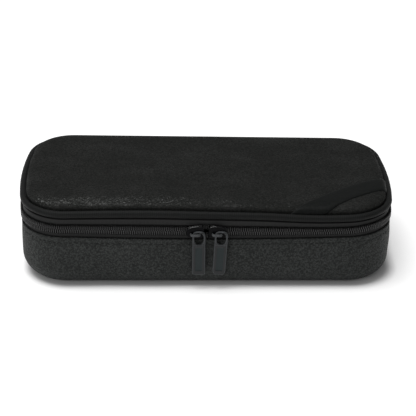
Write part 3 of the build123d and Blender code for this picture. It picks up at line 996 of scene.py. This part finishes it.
# %% The thread that holds each coil on its tape
s = np.arange(-zip_end + 2, zip_end - 2, coil_pitch)
for half, side, body, _ in halves:
    z = zip_z + side * (zip_half + 0.15 + parted(s))
    row = stitch_line(half + "_coil_thread", s, 0.25 - tape_inset, z, 1.1, 0.42, 0.1)
    finish_piece(row, body, thread, "zip_coil")

# %% [markdown]
# Behind the case a strip of the body fabric joins the base to the lid. It is the hinge, which
# on the real case bends through half a turn when the lid lies open. Here it is a flat strip,
# attached to neither body, with many rows of points up its height.

# %% The fabric hinge
def hinge_strip():
    """A flat strip from the wall's fold to the lid's seam, along the middle of the back."""
    s = stations(1.5, lap / 2 - hinge_half, lap / 2 + hinge_half)
    z = np.linspace(wall_top - 1.5, hinge_high[2], 28)
    inset, heights = section((tape_inset, z), (tape_inset + tape_thickness, z[::-1]))
    return strip_piece("hinge_fabric", s, inset, heights)

hinge_fabric = raise_by(hinge_strip(), settled)
hinge_fabric.data.materials.append(base_fabric)
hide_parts("hinge_panel")
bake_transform(hinge_fabric)

# %% [markdown]
# The lid is one panel of the same cloth over a foam board. It leaves the piping nearly
# upright, rolls over a firm shoulder and runs almost flat to the middle. The shoulder is a
# superellipse: its height rises fast at first and levels out, as cloth does over foam.

# %% The shape of the lid
lid_dome = 0.5

def lid_height(inset):
    """Height of the lid at a distance in from the wall: a superellipse, then a slight dome."""
    share = np.clip((inset - lid_inset) / lid_reach, 0, 1)
    rise = np.sqrt(np.maximum(1 - (1 - share) ** 4.5, 0))
    past = np.clip((inset - lid_inset - lid_reach) / (half_depth - lid_reach), 0, 1)
    rim = seam_z + lid_rim
    return rim + (lid_top - rim - lid_dome) * rise + lid_dome * smooth_step(-0.9, 1, past)

def lid_waves(x, y, z=None):
    """Unevenness of the lid: long shallow waves and a few shorter ones, none at the seam.

    z plays no part. It is there because raise_by gives every change a point's three numbers.
    """
    fade = smooth_step(1.0, 9.0, inset_at(x, y) - lid_inset)
    return fade * (waves(x, y, 60.0, 0.22, 11) + waves(x, y, 22.0, 0.06, 12))

def lid_section(rows):
    """The rim and the shoulder, with points crowded where the section turns fastest."""
    q = 1 - (1 - np.linspace(0, 1, rows)) ** 1.6
    inset = lid_inset + lid_reach * q ** 2.4
    upright = seam_z + np.array([0.0, 1.2, 2.4, 3.4, lid_rim - 0.3])
    return section((lid_inset, upright), (inset, lid_height(inset)))

def lid_middle(x, y):
    """Height of the lid at a point of the plan."""
    return lid_height(inset_at(x, y))

inset, z = lid_section(34)
lid_cover = sheet_piece("lid_cover", inset, z, lid_middle, 18)
raise_by(lid_cover, lid_waves)
thicken(lid_cover, 1.0)
finish_piece(lid_cover, "lid", shaded_lid_fabric, "coated_fabric", "lid_top_panel", "lid_foam")

# %% [markdown]
# Piping is a cord wrapped in bias-cut cloth and caught in the seam. Its ends overlap behind.
# A plain round section is carried round, with a little puckering from the stitches.

# %% The piping
piping_turns = 20

def piping_grid(s):
    """A circle carried round. Small ripples along the cord vary its radius."""
    point, normal = outline(s)
    angle = np.arange(piping_turns) * 2 * math.pi / piping_turns
    ripple = waves(s, 0 * s, 6.0, 0.035, 21) + waves(s, 0 * s, 40.0, 0.05, 22)
    radius = piping_radius + ripple[None] * (0.7 + 0.3 * np.cos(angle))[:, None]
    out = np.cos(angle)[:, None] * radius - piping_inset
    plan = point[None] + normal[None] * out[..., None]
    return in_space(plan, piping_z + np.sin(angle)[:, None] * radius)

s = stations(1.0)
v = np.linspace(0, 2 * math.pi * piping_radius, piping_turns + 1)
piping = grid_piece("piping", piping_grid(s[:-1]), s, v, True, True)
finish_piece(piping, "lid", piping_cloth, "piping", "lid_piping")

# %% [markdown]
# A smooth strap crosses the lid's right front corner from seam to seam. It was cut flat, along
# an arc, and then pulled down over the shoulder. So each of its points keeps its distance
# from the middle of the lid, measured over the lid's section, and the strap leans to the left
# on its way down the front. It is then moved out along the lid's normal by its thickness.

# %% The corner strap
strap_front_x = 58.6
strap_angle = math.radians(43.2)
strap_arc = 230.0
strap_half = 7.0
strap_thick = 0.8
strap_rim = 0.15
strap_tuck = 2.2

def arc_point(angle, radius):
    """Point at an angle on a circle about the strap's centre, seen from above."""
    cx = strap_front_x + strap_arc * math.sin(strap_angle)
    cy = -half_depth - strap_arc * math.cos(strap_angle)
    return cx + radius * np.cos(angle), cy + radius * np.sin(angle)

def strap_ends(radius, limit):
    """The two angles at which an arc of that radius meets the lid's rim."""
    angle = np.linspace(math.radians(95), math.radians(150), 4001)
    x, y = arc_point(angle, radius)
    inside = np.flatnonzero(inset_at(x, y) > limit)
    return angle[inside[-1]], angle[inside[0]]

rolling = lid_reach * np.linspace(0, 1, 400) ** 3
profile_inset = lid_inset + np.concatenate([[0.0], rolling, [40.0]])
profile_z = lid_height(profile_inset)
profile_z[0] = profile_z[1] - strap_tuck
profile_step = np.hypot(np.diff(profile_inset), np.diff(profile_z))
profile_run = np.concatenate([[0.0], np.cumsum(profile_step)])
profile_spare = profile_run[-1] - (profile_inset[-1] - lid_inset)

def outward(x, y, step=0.05):
    """Unit direction in plan in which the distance from the wall falls fastest."""
    dx = inset_at(x - step, y) - inset_at(x + step, y)
    dy = inset_at(x, y - step) - inset_at(x, y + step)
    return np.stack([dx, dy], axis=-1) / np.hypot(dx, dy)[..., None]

def pulled_over(x, y):
    """Where a point of the flat strap lies on the lid, and the lid's normal there."""
    inset = inset_at(x, y)
    run = inset - lid_inset + profile_spare
    lies = np.interp(run, profile_run, profile_inset)
    out = outward(x, y)
    plan = np.stack([x, y], axis=-1) + out * (inset - lies)[..., None]
    z = np.interp(run, profile_run, profile_z) + lid_waves(plan[..., 0], plan[..., 1])
    near = 0.4
    inwards, climb = [
        np.interp(run + near, profile_run, profile) - np.interp(run - near, profile_run, profile)
        for profile in (profile_inset, profile_z)
    ]
    normal = in_space(out * climb[..., None], inwards)
    normal /= np.linalg.norm(normal, axis=-1, keepdims=True)
    return in_space(plan, z), normal

def strap_grid(lengths=90, across=15):
    """Top and underside of the strap as one closed section at each station along it."""
    c = np.cos(np.linspace(math.pi, 0, across))
    t = 0.5 - 0.5 * np.cos(np.linspace(0, math.pi, lengths))
    limit = lid_inset - profile_spare
    low, high = np.array([strap_ends(strap_arc + side * strap_half, limit) for side in c]).T
    angle = low[:, None] + (high - low)[:, None] * t[None]
    x, y = arc_point(angle, (strap_arc + c * strap_half)[:, None])
    base, n = pulled_over(x, y)
    edge = (1 - np.abs(c) ** 6)[:, None, None]
    top = base + n * (strap_rim + (strap_thick - strap_rim) * edge ** 0.5)
    under = base - n * 0.25
    return np.concatenate([top, under[::-1]])

def strap_finish(rim):
    """Smooth skin with a fine grain. Its upper edge, at rim on the pattern's Y, has a painted highlight.
    """
    shade = Shade("strap skin", Specular_IOR_Level=0.06)
    grain, skin = shade.speckled((0.0052, 0.0060, 0.0056), (0.0086, 0.0095, 0.0091), 900.0)
    off = (shade.axis(shade.pattern(), "Y") - rim * METRE).maths("ABSOLUTE")
    edge = 1.0 - shade.between(off, 0.5 * METRE, 1.3 * METRE)
    # Painted highlight: a lighter colour along the strap's upper edge.
    skin = shade.mix(edge * grain * 1.6, skin, (0.034, 0.036, 0.035))
    shade.surface(skin, 0.42 + grain * 0.14)
    shade.relief(grain, 0.02)
    return shade.material

grid = strap_grid()
strap_girth = 2 * (2 * strap_half + strap_thick)
strap_skin = strap_finish(strap_girth / 2 - 0.6)
u = np.linspace(0, 70, grid.shape[1])
v = np.linspace(0, strap_girth, grid.shape[0] + 1)
strap = grid_piece("corner_strap_skin", grid, u, v, True, False, caps=True)
finish_piece(strap, "lid", strap_skin, "strap", "corner_strap")

# %% [markdown]
# Inside, both halves are lined. The base's lining is a tub that rolls over the foam wall,
# drops down it and rounds into a flat floor. It is an open sheet that Solidify turns into
# thin cloth, because nobody sees its other side.

# %% The lining of the base
lining_inset = 4.8
roll_depth = 1.4
tub_radius = 7.2
floor_z = 3.6

def tub_section():
    """From the tape over the foam's top edge, down the wall and round to the floor."""
    roll = np.linspace(math.pi, 0, 9)
    drop = np.linspace(wall_top - roll_depth, floor_z + tub_radius, 14)[1:]
    bend = np.linspace(0, math.pi / 2, 9)[1:]
    mid = (tape_inset + tape_thickness + lining_inset) / 2
    half = (lining_inset - tape_inset - tape_thickness) / 2
    return section(
        (mid + half * np.cos(roll), wall_top - roll_depth + roll_depth * np.sin(roll)),
        (lining_inset, drop),
        (lining_inset + tub_radius * (1 - np.cos(bend)), floor_z + tub_radius * (1 - np.sin(bend))),
        (lining_inset + tub_radius + 3, floor_z),
    )

inset, z = tub_section()
tub = sheet_piece("base_tub_lining", inset, z, level(floor_z), step=1.5)
thicken(tub, 0.5)
finish_piece(tub, "base", lining_cloth, "lining", "base_lining", "base_wall_foam")

# %% [markdown]
# The lid's lining is a shallow tray, made the same way upside down: up the low wall, round a
# small bend and across the ceiling.

# %% The lining of the lid
lining_high = node_box("lid_lining")[1]
lid_lining_inset = half_depth - lining_high[1]
lid_ceiling = lining_high[2] - 0.6
tray_radius = 1.5

def tray_section():
    """From the seam up the low wall and round to the ceiling."""
    bend = np.linspace(0, math.pi / 2, 6)[1:]
    wall = np.linspace(seam_z - 0.2, lid_ceiling - tray_radius, 5)
    edge = lid_lining_inset + 0.6
    return section(
        (edge, wall),
        (edge + tray_radius * (1 - np.cos(bend)), lid_ceiling - tray_radius + tray_radius * np.sin(bend)),
        (edge + 5, lid_ceiling),
    )

inset, z = tray_section()
tray = sheet_piece("lid_tray_lining", inset, z, level(lid_ceiling), step=1.5, flip=True)
thicken(tray, 0.5)
finish_piece(tray, "lid", lining_cloth, "lining", "lid_lining")

# %% [markdown]
# The raw edges of tape, piping and lid meet inside the lid's rim. A binding of zip tape covers
# them, pressed flat above and slightly rounded below.

# %% The binding over the lid's raw seam
binding_low, binding_high = node_box("lid_seam_binding")
across = np.linspace(half_depth - binding_high[1], lid_lining_inset + 0.75, 8)
bulge = 0.25 * np.sin(np.linspace(0, math.pi, 8))
inset, z = section((across, binding_low[2] - bulge), (across[::-1], binding_high[2]))
binding = ring_piece("seam_binding", inset, z, step=1.5)
finish_piece(binding, "lid", tape_cloth, "zip_tape", "lid_seam_binding")

# %% [markdown]
# Under the lid lies a flat pocket of net, sewn in at three sides. Its front edge is held by a
# ribbed elastic and sags a little. The net is a sheet held taut, so a flat grid with a sag
# does, where a cloth simulation would only find the same shape again.

# %% The pocket and its elastic
pocket_low, pocket_high = node_box("lid_pocket")
elastic_low, elastic_high = node_box("pocket_binding")

def pocket_grid(rows, columns):
    """A flat sheet whose front edge sags slightly between its sewn sides."""
    x = np.linspace(pocket_low[0], pocket_high[0], columns)
    y = np.linspace(pocket_high[1], pocket_low[1], rows)
    x, y = np.meshgrid(x, y)
    side = (x - pocket_low[0]) / (pocket_high[0] - pocket_low[0])
    front = (pocket_high[1] - y) / (pocket_high[1] - pocket_low[1])
    sag = 0.5 * np.sin(math.pi * side) * front ** 2
    return np.stack([x, y, pocket_high[2] - 0.1 - sag], axis=-1)

grid = pocket_grid(40, 90)
pocket = grid_piece("pocket_sheet", grid, grid[0, :, 0], grid[:, 0, 1])
thicken(pocket, 0.35)
finish_piece(pocket, "lid", pocket_mesh, "pocket_mesh", "lid_pocket")

def elastic_grid(length=160, turns=24):
    """A squared-off ellipse carried along X, with small ripples from the gathered cloth."""
    middle = (elastic_low + elastic_high) / 2
    half = (elastic_high - elastic_low) / 2
    angle = np.linspace(0, 2 * math.pi, turns, endpoint=False)
    x = np.linspace(elastic_low[0], elastic_high[0], length)
    y = middle[1] + half[1] * signed_power(np.cos(angle), 0.5)
    z = middle[2] + half[2] * signed_power(np.sin(angle), 0.6)
    ripple = 0.08 * np.sin(x * 3.1)
    return np.stack(np.broadcast_arrays(x[None], y[:, None], z[:, None] + ripple[None]), axis=-1)

grid = elastic_grid()
elastic = grid_piece("pocket_elastic", grid, grid[0, :, 0], np.linspace(0, 12, 25), True, caps=True)
finish_piece(elastic, "lid", elastic_cloth, "elastic", "pocket_binding")

# %% [markdown]
# A slider is a zinc casting: two plates joined by a wedge, with flanges that guide the chain.
# Its plates are rounded buttons. One closed outline shrinks towards the middle while its
# height follows a rounded edge and a slight dome. Each shape is made once about the slider's
# own middle, with the tail to the left, and the right slider has it turned round.

# %% The slider's plates
slider_half = 5.25
tail_half = 3.2
shoulder_half = 4.1
squareness = 0.52

def plate_half(x):
    """Half the height of a plate: low at the tail and tall at the shoulder."""
    return tail_half + (shoulder_half - tail_half) * smooth_step(-slider_half, 1.0, x)

def slider_outline(angle, shrink):
    """A superellipse as high as the plate, drawn in by shrink."""
    x = (slider_half - shrink) * signed_power(np.cos(angle), squareness)
    z = (plate_half(x) - shrink) * signed_power(np.sin(angle), squareness)
    return x, z

def button(inner, outer, edge, dome, count=72):
    """Rings from the inner face's middle, out over a round edge, to the outer face's middle."""
    angle = np.linspace(0, 2 * math.pi, count, endpoint=False)
    bend = np.linspace(0, math.pi / 2, 6)
    shrink = np.concatenate([
        [3.2, 1.6, 0.3, 0.0],
        edge * (1 - np.cos(bend))[1:],
        edge + np.array([0.6, 1.4, 2.4]),
    ])
    out = np.concatenate([
        [inner, inner, inner, inner + 0.3],
        outer - edge + edge * np.sin(bend)[1:],
        outer + dome * np.array([0.5, 0.85, 1.0]),
    ])
    rings = np.zeros((len(out) + 2, count, 3))
    rings[..., 1] = np.concatenate([out[:1], out, out[-1:]])[:, None]
    for row, drawn_in in enumerate(shrink, 1):
        rings[row, :, 0], rings[row, :, 2] = slider_outline(angle, drawn_in)
    return rings

def flange(side, count=30):
    """A rounded bar along one edge of the slider, from the tape to the outer plate."""
    x = np.linspace(-slider_half + 0.6, slider_half - 0.9, count)
    angle = np.linspace(0, 2 * math.pi, 16, endpoint=False)
    across = 0.27 * signed_power(np.cos(angle), 0.6)
    out = 0.1 + 0.78 * signed_power(np.sin(angle), 0.6)
    z = side * (plate_half(x) - 0.28)[None] + across[:, None]
    return np.stack(np.broadcast_arrays(x[None], out[:, None], z), axis=-1)

def wedge(count=12):
    """The neck between the plates, pointing at the tail."""
    angle = np.linspace(0, 2 * math.pi, 24, endpoint=False)
    x = 2.7 + 2.1 * np.cos(angle)
    z = 0.35 * np.sin(angle) * (0.75 + 0.25 * np.cos(angle))
    out = np.linspace(-2.1, 1.0, count)
    return np.stack(np.broadcast_arrays(x[None], out[:, None], z[None]), axis=-1)

def to_front(local, centre, hand):
    """From a slider's own axes to the case's: hand -1 keeps the tail left, 1 turns it right."""
    x = centre + (local[..., 0] if hand < 0 else -local[..., 0])
    return np.stack([x, -half_depth - local[..., 1], zip_z + local[..., 2]], axis=-1)

def joined(name, grids):
    """Several closed grids as one piece. Each is a grid and whether its rows wrap.

    Where they don't, its columns do. The ends that stay open are closed with one face each.
    """
    parts = []
    for grid, wrap_rows in grids:
        rows, columns = grid.shape[:2]
        points = grid.reshape(-1, 3)
        quads, _, _ = grid_quads(rows, columns, wrap_rows, not wrap_rows)
        ends = end_columns(rows, columns) if wrap_rows else end_rows(rows, columns)
        parts.append((points, outwards(points, quads, quads.tolist() + ends)))
    return new_piece(name, *together(parts))

slider_shapes = [
    (button(inner=0.8, outer=2.0, edge=0.55, dome=0.22), False),
    (button(inner=-3.2, outer=-2.0, edge=0.4, dome=0.0), False),
    (flange(1), True),
    (flange(-1), True),
    (wedge(), False),
]
for hand, side in (("left", -1), ("right", 1)):
    shapes = [(to_front(grid, slider_x[hand], side), wrap) for grid, wrap in slider_shapes]
    casting = joined(hand + "_slider_casting", shapes)
    finish_piece(casting, hand + "_slider", slider_enamel, "slider_metal", hand + "_slider_body")

# %% [markdown]
# Each slider has a bridge, a bent bar that the pull hangs on. It is a tube of flattened
# section along an arch, wider over its top than at its feet.

# %% The bridges
bridge_half = 2.8
bridge_low = 1.7
bridge_top = 4.35
bridge_z = node_box("left_slider_bridge")[:, 2].sum() / 2

def bridge_path(count=40):
    """A superellipse arch from foot to foot."""
    angle = np.linspace(math.pi, 0, count)
    x = bridge_half * signed_power(np.cos(angle), 0.45)
    out = bridge_low + (bridge_top - bridge_low) * np.abs(np.sin(angle)) ** 0.5
    return x, out

for hand, side in (("left", -1), ("right", 1)):
    x, out = bridge_path()
    path = np.column_stack([slider_x[hand] + x, -half_depth - out, bridge_z + 0 * x])
    up = np.tile([0.0, 0.0, 1.0], (len(x), 1))
    width = 0.7 + 0.12 * np.sin(np.linspace(0, math.pi, len(x)))
    bridge = tube(hand + "_bridge_bar", path, up, width, 14, flat=0.68)
    finish_piece(bridge, hand + "_slider", highlit_bridge_enamel, "slider_metal", hand + "_slider_bridge")

# %% [markdown]
# The pulls are flat castings with a ring at the top and a sunk panel on the tongue. The front
# is a grid of rows down the pull. Where a row meets the hole, its points split into two
# strips, so the grid follows both edges. Height falls away near every edge by a quarter
# circle, which gives a soft rim. Each point keeps the share of painted highlight that the
# enamel puts on the rims. The pulls hang by their ring on the right leg of their bridge, as
# loose rings do.

# %% The pulls
pull_half = 3.9
pull_length = 29.0
pull_thick = 1.5
pull_rim = 0.45
tip_depth = 3.0
ring_width = 0.9
hole_half = 2.8
hole_length = 7.7
panel_half = 2.2
panel_gap = 1.9
panel_length = 15.8
panel_depth = 0.4
leg_radius = 0.85
pull_back = 2.15

def pull_edge(z, top, foot):
    """Half the pull's width at height z: round shoulders above, and a foot of its own depth."""
    up = np.clip((z - (top - 3.6)) / 3.6, 0, 1)
    down = np.clip(((top - pull_length + foot) - z) / foot, 0, 1)
    return pull_half * (1 - up ** 2.6) ** (1 / 2.6) * (1 - 0.45 * down ** 2.4)

def hole_edge(z, hole_top):
    """Half the hole's width at height z: a superellipse."""
    middle = hole_top - hole_length / 2
    share = np.clip(np.abs(z - middle) / (hole_length / 2), 0, 1)
    return hole_half * (1 - share ** 2.5) ** (1 / 2.5)

def pull_side(side, top, hole_top, face, foot):
    """Half of one face, from the hole or the middle out to the edge, as (x, out, z, worn).

    side is -1 for the left half and 1 for the right, and face is 1 for the front and -1 for
    the back. With g the distance from the nearest edge and r the rim, a point lies
    r - sqrt(r^2 - (r - g)^2) below the face where g is less than r.
    """
    bottom = top - pull_length
    panel_top = hole_top - hole_length - panel_gap
    z = np.concatenate([
        top - (top - hole_top) * (1 - np.cos(np.linspace(0, math.pi / 2, 9))),
        hole_top - hole_length * (0.5 - 0.5 * np.cos(np.linspace(0, math.pi, 40)))[1:],
        np.linspace(hole_top - hole_length, bottom + tip_depth, 60)[1:],
        bottom + tip_depth * (1 - np.sin(np.linspace(0, math.pi / 2, 14)))[1:],
    ])
    q = 0.5 - 0.5 * np.cos(np.linspace(0, math.pi, 21))
    inner = hole_edge(z, hole_top)
    outer = np.maximum(pull_edge(z, top, foot), inner + 0.01)
    x = inner[:, None] + (outer - inner)[:, None] * q[None]
    z = np.broadcast_to(z[:, None], x.shape)
    far = 9.0
    beside_hole = inner[:, None] > 0
    gap_out = outer[:, None] - x
    gap_in = np.where(beside_hole, x - inner[:, None], far)
    gap_end = np.minimum(top - z, z - bottom)
    gap_hole = np.abs(np.maximum(z - hole_top, hole_top - hole_length - z))
    gap_hole = np.where(beside_hole, far, gap_hole)
    gap = np.minimum(np.minimum(gap_out, gap_in), np.minimum(gap_end, gap_hole))
    short = np.clip(pull_rim - gap, 0, pull_rim)
    drop = pull_rim - np.sqrt(np.maximum(pull_rim ** 2 - short ** 2, 0))
    height = pull_thick / 2 - drop
    # Share of painted highlight on the enamel, 1 at the rims.
    wear_and_sheen = 1 - smooth_step(0.25, 0.95, gap)
    if face > 0:
        flat = np.maximum(x - panel_half, np.maximum(z - panel_top, panel_top - panel_length - z))
        sunk = 1 - smooth_step(-0.3, 0.05, flat)
        height = height - panel_depth * sunk
        wear_and_sheen = wear_and_sheen - sunk
    out = pull_back + pull_thick / 2 + face * height
    return np.stack([side * x, out, z, wear_and_sheen], axis=-1)

def pull_piece(name, centre, play, shift, tilt, foot):
    """Four quarter faces and the walls between them, merged along their shared edges.

    play is the gap between the bridge's leg and the top of the hole. The pull hangs shift to
    the right of the leg and is turned by tilt degrees about it. foot is how far its lower end
    narrows. Where there is no hole, the wall between left and right half is left out.
    """
    hole_top = leg_radius + play
    top = hole_top + ring_width
    parts = []
    for side in (-1, 1):
        front = pull_side(side, top, hole_top, 1, foot)
        back = pull_side(side, top, hole_top, -1, foot)
        loop = np.concatenate([front, back[:, ::-1]], axis=1)
        rows, columns = loop.shape[:2]
        quads, _, _ = grid_quads(rows, columns, False, True)
        flat = loop.reshape(-1, 4)
        column = quads % columns
        is_inner = ((column == 0) | (column == columns - 1)).all(axis=1)
        at_middle = np.abs(loop[:, 0, 0]) < 1e-6
        row = quads[:, 0] // columns
        solid = at_middle[row] & at_middle[np.minimum(row + 1, rows - 1)]
        quads = quads[~(is_inner & solid)]
        ends = end_rows(rows, columns)
        parts.append((flat, outwards(flat[:, :3], quads, quads.tolist() + ends)))
    local, faces = together(parts)
    local[:, 0] += shift
    turn = math.radians(tilt)
    x = local[:, 0] * math.cos(turn) + local[:, 2] * math.sin(turn)
    z = local[:, 2] * math.cos(turn) - local[:, 0] * math.sin(turn)
    world = np.column_stack([centre + bridge_half + x, -half_depth - local[:, 1], bridge_z + z])
    return new_piece(name, world, faces, wear_and_sheen=local[:, 3])

hanging = {
    "left": {"play": 0.3, "shift": -0.7, "tilt": 0.0, "foot": 1.2},
    "right": {"play": 0.35, "shift": -0.25, "tilt": 3.0, "foot": 3.0},
}
for hand, how in hanging.items():
    pull = pull_piece(hand + "_pull_plate", slider_x[hand], **how)
    finish_piece(pull, hand + "_pull", pull_enamel, "pull_metal", hand + "_pull_tab")

# %% [markdown]
# The board in the bottom and the two stops at the chain's ends are plain shapes that nobody
# sees in the picture. They stay as they are packed and only get a better finish.

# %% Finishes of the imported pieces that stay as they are
for node, material in (
    ("bottom_board", stiff_board),
    ("left_zip_stop", slider_enamel),
    ("right_zip_stop", slider_enamel),
):
    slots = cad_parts[node].data.materials
    slots.clear()
    slots.append(material)
    print(node, "has", material.name)

# %% [markdown]
# The case lies on a white floor that fills the view. Most of the floor's white is its own
# colour under the lamps, which keeps the soft shadow. The rest is a glow that only the camera
# and mirrors see, so it puts no extra light on the case. The glow fades out in a band round
# the case's foot, moved a little to the right and the front. There the floor keeps only its
# lit colour, so the shadow is partly the lamps' real one and partly a painted shadow shaped
# by the band.

# %% The floor
shadow_shift = (-0.0025, 0.001, 0.0)
floor_half = 3000.0
floor_white = (0.8, 0.8, 0.8)
floor_glow = 0.48

def make_floor():
    """A white square whose glow is added to its own shader."""
    corners = floor_half * np.array([[-1, -1, 0], [1, -1, 0], [1, 1, 0], [-1, 1, 0]])
    piece = new_piece("floor", corners, [[0, 1, 2, 3]])
    shade = Shade("white floor", Specular_IOR_Level=0.0)
    shade.surface(floor_white, 0.9)
    seen = shade.node("ShaderNodeLightPath", output="Is Camera Ray")
    mirrored = shade.node("ShaderNodeLightPath", output="Is Glossy Ray")
    # Painted shadow: the glow is held back in a band round the case's foot.
    clear = shade.between(plan_distance(shade, shadow_shift), -0.006, 0.004)
    own = (seen + mirrored).maths("MINIMUM", 1.0) * clear * floor_glow
    glow = shade.node("ShaderNodeEmission", None, {"Color": (1.0, 1.0, 1.0), "Strength": own})
    lit = Value(shade, shade.shader.outputs[0])
    both = shade.node("ShaderNodeAddShader", None, {0: lit, 1: glow})
    shade.put(shade.tree.nodes["Material Output"].inputs["Surface"], both)
    piece.data.materials.append(shade.material)

make_floor()

# %% [markdown]
# One large soft lamp hangs over the case, a little to the left, and a weaker one fills the
# front. The room is a dim world light, which only the camera sees as plain white.

# %% Lamps and world
room_light = 0.25

def soft_lamp(name, place, target, size, power):
    """A round lamp that faces the target. Its size is in metres and its power in watts."""
    data = bpy.data.lights.new(name, "AREA")
    data.shape = "DISK"
    data.size = size
    data.energy = power
    lamp = bpy.data.objects.new(name, data)
    bpy.context.collection.objects.link(lamp)
    lamp.location = place
    away = np.array(place) - np.array(target)
    lamp.rotation_euler = (
        math.atan2(math.hypot(away[0], away[1]), away[2]),
        0.0,
        math.atan2(away[0], -away[1]),
    )

soft_lamp("overhead lamp", (-0.22, 0.02, 1.1), (0.0, 0.0, 0.0), 0.75, 9.2)
soft_lamp("front fill", (-0.6, -1.0, 0.5), (0.0, 0.0, 0.02), 0.8, 3.2)
world = bpy.data.worlds.new("studio")
bpy.context.scene.world = world
world.use_nodes = True
nodes = world.node_tree.nodes
ray = nodes.new("ShaderNodeLightPath")
shown = nodes.new("ShaderNodeMath")
shown.operation = "MULTIPLY_ADD"
shown.inputs[1].default_value = 1.0 - room_light
shown.inputs[2].default_value = room_light
background = nodes["Background"]
background.inputs["Color"].default_value = (1.0, 1.0, 1.0, 1.0)
world.node_tree.links.new(ray.outputs["Is Camera Ray"], shown.inputs[0])
world.node_tree.links.new(shown.outputs[0], background.inputs["Strength"])

# %% [markdown]
# The camera's place was fitted to the outlines in the photograph. It stands in front of the
# case, well above it, and looks down at its middle through a long lens. It is turned and
# rolled by about a degree, and the shifts put the case where it is in the frame.

# %% The camera
target = np.array([0.0, 0.0, 0.025])
distance = 0.8938
lens = 122.37
shift_right = 0.0065
shift_up = 0.0024
elevation = math.radians(26.818)
yaw = math.radians(-1.253)
roll = math.radians(-0.586)

def photo_camera():
    """The camera looks at the target from the front, turned and rolled a little."""
    flat = distance * math.cos(elevation)
    away = np.array([flat * math.sin(yaw), -flat * math.cos(yaw), distance * math.sin(elevation)])
    back = away / distance
    right = np.array([math.cos(yaw), math.sin(yaw), 0.0])
    up = np.cross(back, right)
    x_axis = math.cos(roll) * right - math.sin(roll) * up
    y_axis = math.sin(roll) * right + math.cos(roll) * up
    data = bpy.data.cameras.new("photo camera")
    data.lens = lens
    data.sensor_width = 36.0
    data.shift_x = shift_right
    data.shift_y = shift_up
    camera = bpy.data.objects.new("photo camera", data)
    bpy.context.collection.objects.link(camera)
    place = target + away
    rows = [[x_axis[k], y_axis[k], back[k], place[k]] for k in range(3)]
    camera.matrix_world = mathutils.Matrix(rows + [[0, 0, 0, 1]])
    bpy.context.scene.camera = camera
    return camera

camera = photo_camera()
scene = bpy.context.scene
scene.view_settings.view_transform = "Standard"
print("camera at", [round(c, 3) for c in camera.matrix_world.translation])
